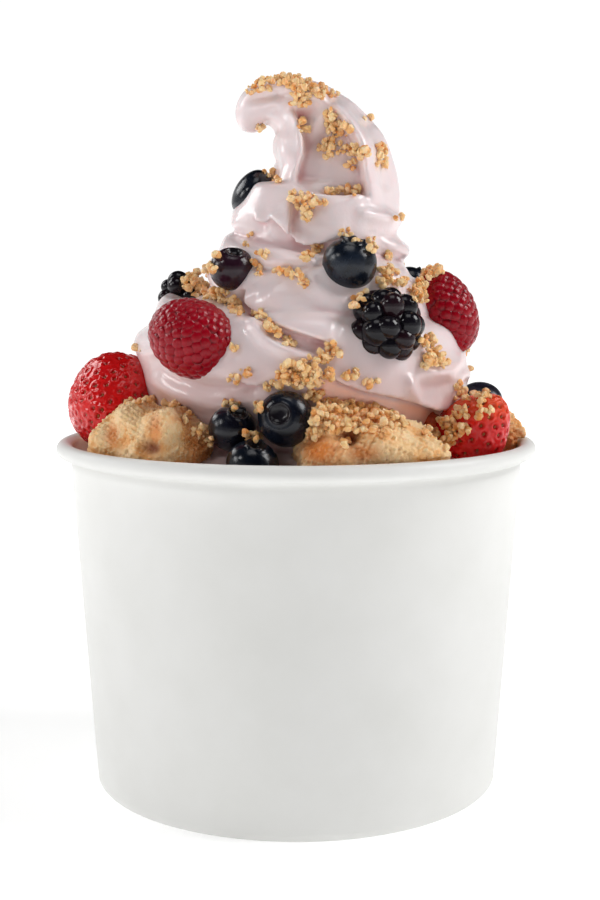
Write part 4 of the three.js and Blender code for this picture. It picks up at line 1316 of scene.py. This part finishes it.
# Groups in the photograph: pixel of the middle, reach across and down, and how many nuts show.
NUTS_SEEN = [
    (262, 84, 14, 6, 12), (250, 88, 6, 7, 6), (264, 79, 6, 3, 5), (284, 80, 16, 6, 16),
    (302, 88, 14, 9, 20), (325, 92, 13, 6, 14), (300, 101, 9, 5, 8), (330, 118, 8, 11, 9),
    (340, 130, 12, 8, 12), (330, 148, 12, 9, 14), (350, 150, 12, 6, 10), (352, 165, 6, 4, 3),
    (363, 152, 8, 5, 6), (380, 150, 6, 7, 9), (381, 163, 6, 5, 5), (298, 124, 5, 4, 2), (305, 131, 6, 4, 3),
    (368, 119, 5, 2, 2), (259, 128, 4, 3, 5), (268, 175, 7, 5, 6), (275, 180, 6, 3, 3),
    (300, 196, 12, 5, 11), (318, 201, 9, 6, 7), (306, 216, 5, 8, 7), (302, 206, 5, 4, 3),
    (334, 191, 9, 4, 7), (352, 191, 10, 5, 9), (397, 218, 5, 2, 2), (345, 233, 6, 5, 4),
    (372, 243, 5, 8, 6), (358, 240, 5, 3, 2), (316, 248, 6, 5, 5), (306, 256, 6, 4, 4), (280, 272, 6, 3, 4),
    (294, 274, 8, 4, 8), (303, 283, 6, 5, 5), (262, 254, 6, 5, 4), (256, 262, 5, 4, 3), (258, 272, 4, 5, 3),
    (228, 236, 3, 2, 1), (247, 246, 4, 3, 2), (250, 234, 3, 2, 1), (204, 266, 9, 6, 16),
    (197, 275, 10, 7, 20), (189, 283, 8, 6, 14), (213, 256, 5, 3, 3), (196, 288, 8, 4, 8),
    (202, 296, 9, 4, 7), (220, 295, 11, 7, 16), (232, 304, 9, 7, 12), (238, 313, 5, 4, 3),
    (259, 314, 6, 5, 6), (270, 325, 7, 6, 8), (277, 333, 5, 3, 3), (289, 342, 7, 4, 5), (235, 348, 4, 2, 2),
    (246, 371, 6, 4, 4), (234, 378, 6, 5, 5), (332, 347, 7, 5, 5), (336, 355, 6, 4, 4),
    (322, 358, 9, 6, 10), (308, 364, 10, 7, 14), (290, 370, 12, 8, 18), (300, 380, 14, 8, 22),
    (318, 378, 12, 8, 16), (280, 382, 9, 5, 8), (330, 374, 7, 5, 6), (268, 386, 5, 3, 3),
    (350, 376, 9, 4, 7), (372, 383, 8, 4, 4), (358, 373, 5, 3, 2), (315, 395, 10, 6, 10),
    (330, 404, 12, 7, 16), (350, 408, 14, 7, 20), (372, 411, 13, 6, 18), (388, 415, 9, 5, 10),
    (318, 418, 10, 7, 14), (336, 424, 12, 7, 16), (358, 426, 14, 7, 16), (382, 428, 12, 7, 12),
    (402, 424, 8, 5, 6), (314, 434, 8, 6, 8), (346, 444, 5, 5, 4), (396, 281, 10, 4, 9),
    (388, 272, 9, 5, 8), (419, 287, 8, 6, 10), (428, 273, 7, 5, 8), (432, 273, 7, 5, 10),
    (441, 270, 5, 4, 8), (449, 270, 4, 3, 4), (420, 298, 8, 5, 6), (382, 283, 8, 4, 6), (414, 292, 6, 5, 8),
    (421, 284, 6, 6, 8), (362, 296, 6, 6, 4), (356, 303, 5, 5, 3), (388, 258, 3, 7, 3), (428, 342, 9, 6, 9),
    (434, 355, 10, 7, 12), (441, 364, 8, 4, 6), (426, 364, 6, 4, 4), (457, 385, 4, 3, 2),
    (462, 395, 9, 5, 7), (478, 397, 13, 5, 8), (462, 412, 10, 7, 8), (484, 412, 10, 7, 5),
    (448, 424, 9, 6, 9), (460, 430, 10, 7, 10), (432, 432, 8, 6, 6), (446, 442, 8, 5, 6),
    (130, 402, 9, 3, 4), (150, 399, 7, 4, 4), (172, 404, 8, 3, 4), (186, 418, 7, 5, 4), (200, 432, 7, 6, 5),
    (210, 441, 5, 5, 3), (232, 404, 9, 4, 7), (258, 405, 5, 6, 5), (252, 437, 9, 4, 6), (244, 434, 4, 3, 2),
    (139, 350, 3, 3, 1), (153, 399, 6, 4, 3), (450, 434, 7, 6, 5), (200, 281, 8, 6, 10),
    (208, 268, 7, 6, 8),
]
# Groups on the sides and the back: bearing, distance and level, reach across and upwards, how many.
NUTS_BEHIND = [
    (150, 12.0, 152.0, 6, 5, 26), (-150, 14.0, 146.0, 6, 4, 14), (-170, 16.0, 138.0, 7, 4, 18),
    (120, 18.0, 142.0, 5, 5, 14), (170, 20.0, 128.0, 7, 3, 12), (-120, 22.0, 126.0, 5, 4, 10),
    (110, 26.0, 124.0, 5, 3, 10), (-95, 24.0, 121.0, 4, 3, 6), (150, 36.0, 113.0, 8, 4, 24),
    (-140, 36.0, 108.0, 8, 4, 22), (180, 36.0, 112.0, 7, 3, 16), (-178, 40.0, 96.0, 9, 4, 26),
    (-110, 40.0, 96.0, 6, 4, 14), (-90, 40.0, 100.0, 5, 4, 8), (115, 41.0, 99.0, 6, 4, 16),
    (90, 40.0, 100.0, 5, 4, 8), (140, 44.0, 91.0, 9, 4, 26), (-120, 46.0, 91.0, 9, 4, 26),
    (-150, 44.0, 90.0, 8, 3, 16), (165, 44.0, 90.0, 8, 4, 18), (-95, 44.0, 92.0, 6, 3, 8),
    (120, 44.0, 90.0, 7, 4, 14), (-165, 46.0, 84.0, 7, 4, 10), (98, 44.0, 86.0, 4, 3, 6),
]
# A nut's width, the share of whole chips among crumbs, their sizes, and how many lie for each one seen.
NUT = {"size": 1.38, "large_share": 0.74, "chips": (0.7, 1.35), "crumb": 0.5, "more": 2.35}
NUT.update({"tone_power": 1.6, "seed": 7})
# How a chip is shaped: a lumpy ball, flat faces broken off it at some depths, and uneven proportions.
CHIP = {"kinds": 18, "lumps": 0.16, "lump_size": 1.3, "cuts": 7, "cut_at": (0.5, 0.85), "unevenness": 0.25}
CHIP.update({"first_seed": 200, "first_lump_seed": 300, "chip_detail": 2, "crumb_detail": 1})
# How nuts come to rest: how high they sit, how close they may be and how far one is lifted for that, how
# deep the heap may be, and where the rolled rim keeps them out.
REST = {"seat": 0.42, "closeness": 0.5, "lift": 1.0, "heap": 3.2, "rim_level": 1.5, "rim_radius": 50.5}
# The slope and the height in millimetres from which nuts fall behind, and how they scatter.
FALL = {"slope": 40.0, "height": 45.0, "scatter": 0.55}
FRUIT_BIT = {"pixel": (429, 422), "half": (2.7, 2.3, 2.0), "lift": 0.7, "detail": 5}
FRUIT_BIT.update({"lumps": 0.09, "lump_size": 0.9, "seed": 21})


def nut_shapes(detail):
    """A few different angular chips: lumpy balls with flat faces broken off them."""
    ways, faces = ball(detail)
    shapes = []
    for index in range(CHIP["kinds"]):
        random = np.random.default_rng(CHIP["first_seed"] + index)
        lumps = wave_noise(ways, CHIP["lump_size"], CHIP["first_lump_seed"] + index, 2)
        points = ways * (1 + CHIP["lumps"] * lumps)[:, None]
        for _ in range(CHIP["cuts"]):
            way = unit(random.normal(size=3))
            over = np.maximum(0, points @ way - random.uniform(*CHIP["cut_at"]))
            points = points - over[:, None] * way
        shapes.append((points * random.uniform(1 - CHIP["unevenness"], 1 + CHIP["unevenness"], 3), faces))
    return shapes


class Ground:
    """What falling nuts land on: the scene's surfaces, then the nuts that already lie there."""

    def __init__(self, items):
        shapes = [(points_of(item), [list(face.vertices) for face in item.data.polygons]) for item in items]
        points, faces = joined(shapes)
        self.tree = BVHTree.FromPolygons(points.tolist(), faces)
        self.middles = np.empty((0, 3))
        self.sizes = np.empty(0)

    def land(self, start, way):
        """Where something comes to rest and which way is up there, or None where nothing is hit."""
        hit, normal, _, distance = self.tree.ray_cast(start, way)
        if hit is None:
            return None
        place, up = np.array(hit), np.array(normal)
        if len(self.middles):
            # A nut that meets others comes to rest on top of them.
            begin, along = np.array(start), np.array(way)
            offset = self.middles - begin
            forward = offset @ along
            aside = (offset**2).sum(1) - forward**2
            inside = self.sizes**2 - aside
            reach = np.where(inside > 0, forward - np.sqrt(np.maximum(inside, 0)), np.inf)
            nearest = int(np.argmin(reach))
            if reach[nearest] < distance and distance - reach[nearest] < REST["heap"]:
                place = begin + along * reach[nearest]
                up = unit(0.5 * up + 0.5 * unit(place - self.middles[nearest]))
        return place, up

    def clear(self, middle, up, size):
        """A nut's middle, lifted off the nuts that it would overlap."""
        if len(self.middles):
            apart = REST["closeness"] * (self.sizes + size)
            gap = (np.linalg.norm(self.middles - middle, axis=1) - apart).min()
            if gap < 0:
                return middle + up * min(REST["lift"], -gap)
        return middle

    def keep(self, middle, size):
        self.middles = np.vstack([self.middles, middle])
        self.sizes = np.append(self.sizes, size)


def build_fruit_bit(ground):
    """A small piece of red fruit between the yogurt and the right-hand chunk."""
    place, up = ground.land(*ray_through(*FRUIT_BIT["pixel"]))
    ways, faces = ball(FRUIT_BIT["detail"])
    lumps = wave_noise(ways, FRUIT_BIT["lump_size"], FRUIT_BIT["seed"], 3)
    points = ways * (1 + FRUIT_BIT["lumps"] * lumps)[:, None] * np.array(FRUIT_BIT["half"])
    points = turned_to(points, up) + place + up * FRUIT_BIT["lift"]
    item = mesh_object("red_fruit_bit", points, faces, fruit_bit_material())
    return finish_piece(item, "raspberry")


def nut_paths(random):
    """Where each nut starts and the way it falls: along the camera's view, or down on the sides and back."""
    for x, y, across, down, count in NUTS_SEEN:
        for _ in range(round(NUT["more"] * count)):
            angle, share = random.uniform(0, 2 * math.pi), math.sqrt(random.uniform(0, 1))
            yield ray_through(x + across * share * math.cos(angle), y + down * share * math.sin(angle))
    slope = math.radians(FALL["slope"])
    for bearing, distance, level, across, up, count in NUTS_BEHIND:
        for _ in range(count):
            beside = around(bearing + 90, 1, 0) * across * random.normal() * FALL["scatter"]
            aim = around(bearing, distance, level) + beside
            aim.z += up * random.normal() * FALL["scatter"]
            rise = around(bearing, math.cos(slope), math.sin(slope))
            yield aim + rise * FALL["height"], -rise


def build_nuts(ground):
    random = np.random.default_rng(NUT["seed"])
    chips, crumbs = nut_shapes(CHIP["chip_detail"]), nut_shapes(CHIP["crumb_detail"])
    pieces, tones = [], []
    for start, way in nut_paths(random):
        landed = ground.land(start, way)
        if landed is None:
            continue
        place, up = landed
        large = random.uniform(0, 1) < NUT["large_share"]
        size = NUT["size"] / 2 * (random.uniform(*NUT["chips"]) if large else NUT["crumb"])
        middle = ground.clear(place + up * size * REST["seat"], up, size)
        radius = math.hypot(middle[0], middle[1])
        if middle[2] < CUP["height"] + REST["rim_level"] and radius > REST["rim_radius"]:
            continue
        axis = unit(random.normal(size=3))
        turn = np.array(Quaternion(Vector(axis), random.uniform(0, 2 * math.pi)).to_matrix())
        shapes = chips if large else crumbs
        corners, faces = shapes[random.integers(len(shapes))]
        pieces.append(((corners * size) @ turn.T + middle, faces))
        tones.append(np.full(len(corners), random.uniform(0, 1) ** NUT["tone_power"]))
        ground.keep(middle, size)
    item = mesh_object("chopped_nuts", *joined(pieces), nut_material(), smooth_faces=False)
    add_values(item, tone=np.concatenate(tones))
    return finish_piece(item, "cobbler")


# ------------------------------------------------------------------ floor and light

# The white band round the horizon, the whiter patch behind the cup and the glow of the floor. Each
# fades between two values: the direction's height, its part away from the camera, the distance in metres.
ROOM = {"band": 0.62, "band_fades": (0.18, 0.40), "patch": 0.43, "patch_rises": (0.88, 0.955)}
# The share of the band that is left in front of the cup.
ROOM.update({"front": 0.85, "front_fades": (-0.7, 0.1), "colour": (1.0, 0.998, 0.99, 1)})
FLOOR = {"glow": 0.40, "far_glow": 0.62, "glow_rises": (0.12, 0.55), "half": 4.0, "roughness": 0.9}
# Bearing and elevation in degrees, distance in metres, then the size and the power of each light.
SOFTBOXES = {
    "left_low": (-84, 20, 0.90, (0.22, 0.22), 1.45),
    "left_key": (-62, 36, 1.05, (0.17, 0.17), 1.25),
    "left_back": (-125, 30, 1.00, (0.40, 0.40), 2.48),
    "right_key": (72, 31, 1.00, (0.10, 0.34), 0.60),
    "right_high": (90, 42, 0.95, (0.40, 0.40), 5.15),
    "overhead": (0, 80, 1.10, (0.50, 0.50), 1.85),
}
LIT_LEVEL = 0.11


def floor_material():
    """Pale, with a glow that grows with the distance, so that the floor ends in the white of the room."""
    shader = material_shader("studio_floor")
    grey = shader.mix(shader.noise(0.004, 2), (0.90, 0.90, 0.90), (0.92, 0.92, 0.92))
    shader.set(Base_Color=grey, Roughness=FLOOR["roughness"], Emission_Color=(1, 1, 1, 1))
    distance = shader.add("VectorMath", {0: shader.place["Object"]}, operation="LENGTH").outputs["Value"]
    glow = (FLOOR["glow"], FLOOR["glow"] + FLOOR["far_glow"])
    shader.set(Emission_Strength=shader.fade(distance, FLOOR["glow_rises"], glow))
    return shader.owner


def add_floor():
    half = FLOOR["half"]
    mesh = bpy.data.meshes.new("floor")
    corners = [(-half, -half, 0), (half, -half, 0), (half, half, 0), (-half, half, 0)]
    mesh.from_pydata(corners, [], [(0, 1, 2, 3)])
    mesh.materials.append(floor_material())
    floor = bpy.data.objects.new("floor", mesh)
    SCENE.collection.objects.link(floor)
    floor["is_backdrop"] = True


def add_world():
    SCENE.world = bpy.data.worlds.new("studio")
    shader = Shader(SCENE.world, "Background")
    split = shader.add("SeparateXYZ", {"Vector": shader.place["Generated"]}).outputs
    band = shader.fade(shader.calculate("ABSOLUTE", split["Z"]), ROOM["band_fades"], (ROOM["band"], 0.0))
    front = shader.fade(split["Y"], ROOM["front_fades"], (ROOM["front"], 1.0))
    patch = shader.fade(split["Y"], ROOM["patch_rises"], (0.0, ROOM["patch"]))
    strength = shader.calculate("ADD", shader.calculate("MULTIPLY", band, front), patch)
    shader.set(Strength=strength, Color=ROOM["colour"])


def add_softboxes():
    for name, (bearing, elevation, distance, size, power) in SOFTBOXES.items():
        data = bpy.data.lights.new(name, "AREA")
        data.shape = "RECTANGLE"
        data.size, data.size_y = size
        data.energy = power
        lamp = bpy.data.objects.new(name, data)
        lift = math.radians(elevation)
        aim = Vector((0, 0, LIT_LEVEL))
        lamp.location = aim + around(bearing, distance * math.cos(lift), distance * math.sin(lift))
        lamp.rotation_euler = (aim - lamp.location).to_track_quat("-Z", "Y").to_euler()
        SCENE.collection.objects.link(lamp)


add_camera()
build_cup()
yogurt = build_yogurt()
berries = build_berries("blueberry", BLUEBERRIES, blueberry_shape, blueberry_material())
berries += build_berries("raspberry", RASPBERRIES, raspberry_shape, raspberry_material())
berries += build_berries("bramble", BRAMBLES, bramble_shape, bramble_material())
berries += build_strawberries()
toppings = [yogurt, *berries, *build_cobbler()]
toppings.append(build_fruit_bit(Ground(toppings)))
build_nuts(Ground(toppings))
add_floor()
add_world()
add_softboxes()
SCENE.view_settings.view_transform = "Standard"

plain_boxes = {name: [[float(value) for value in corner] for corner in box]
               for name, box in (("cad", cad_box), ("visual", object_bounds()))}
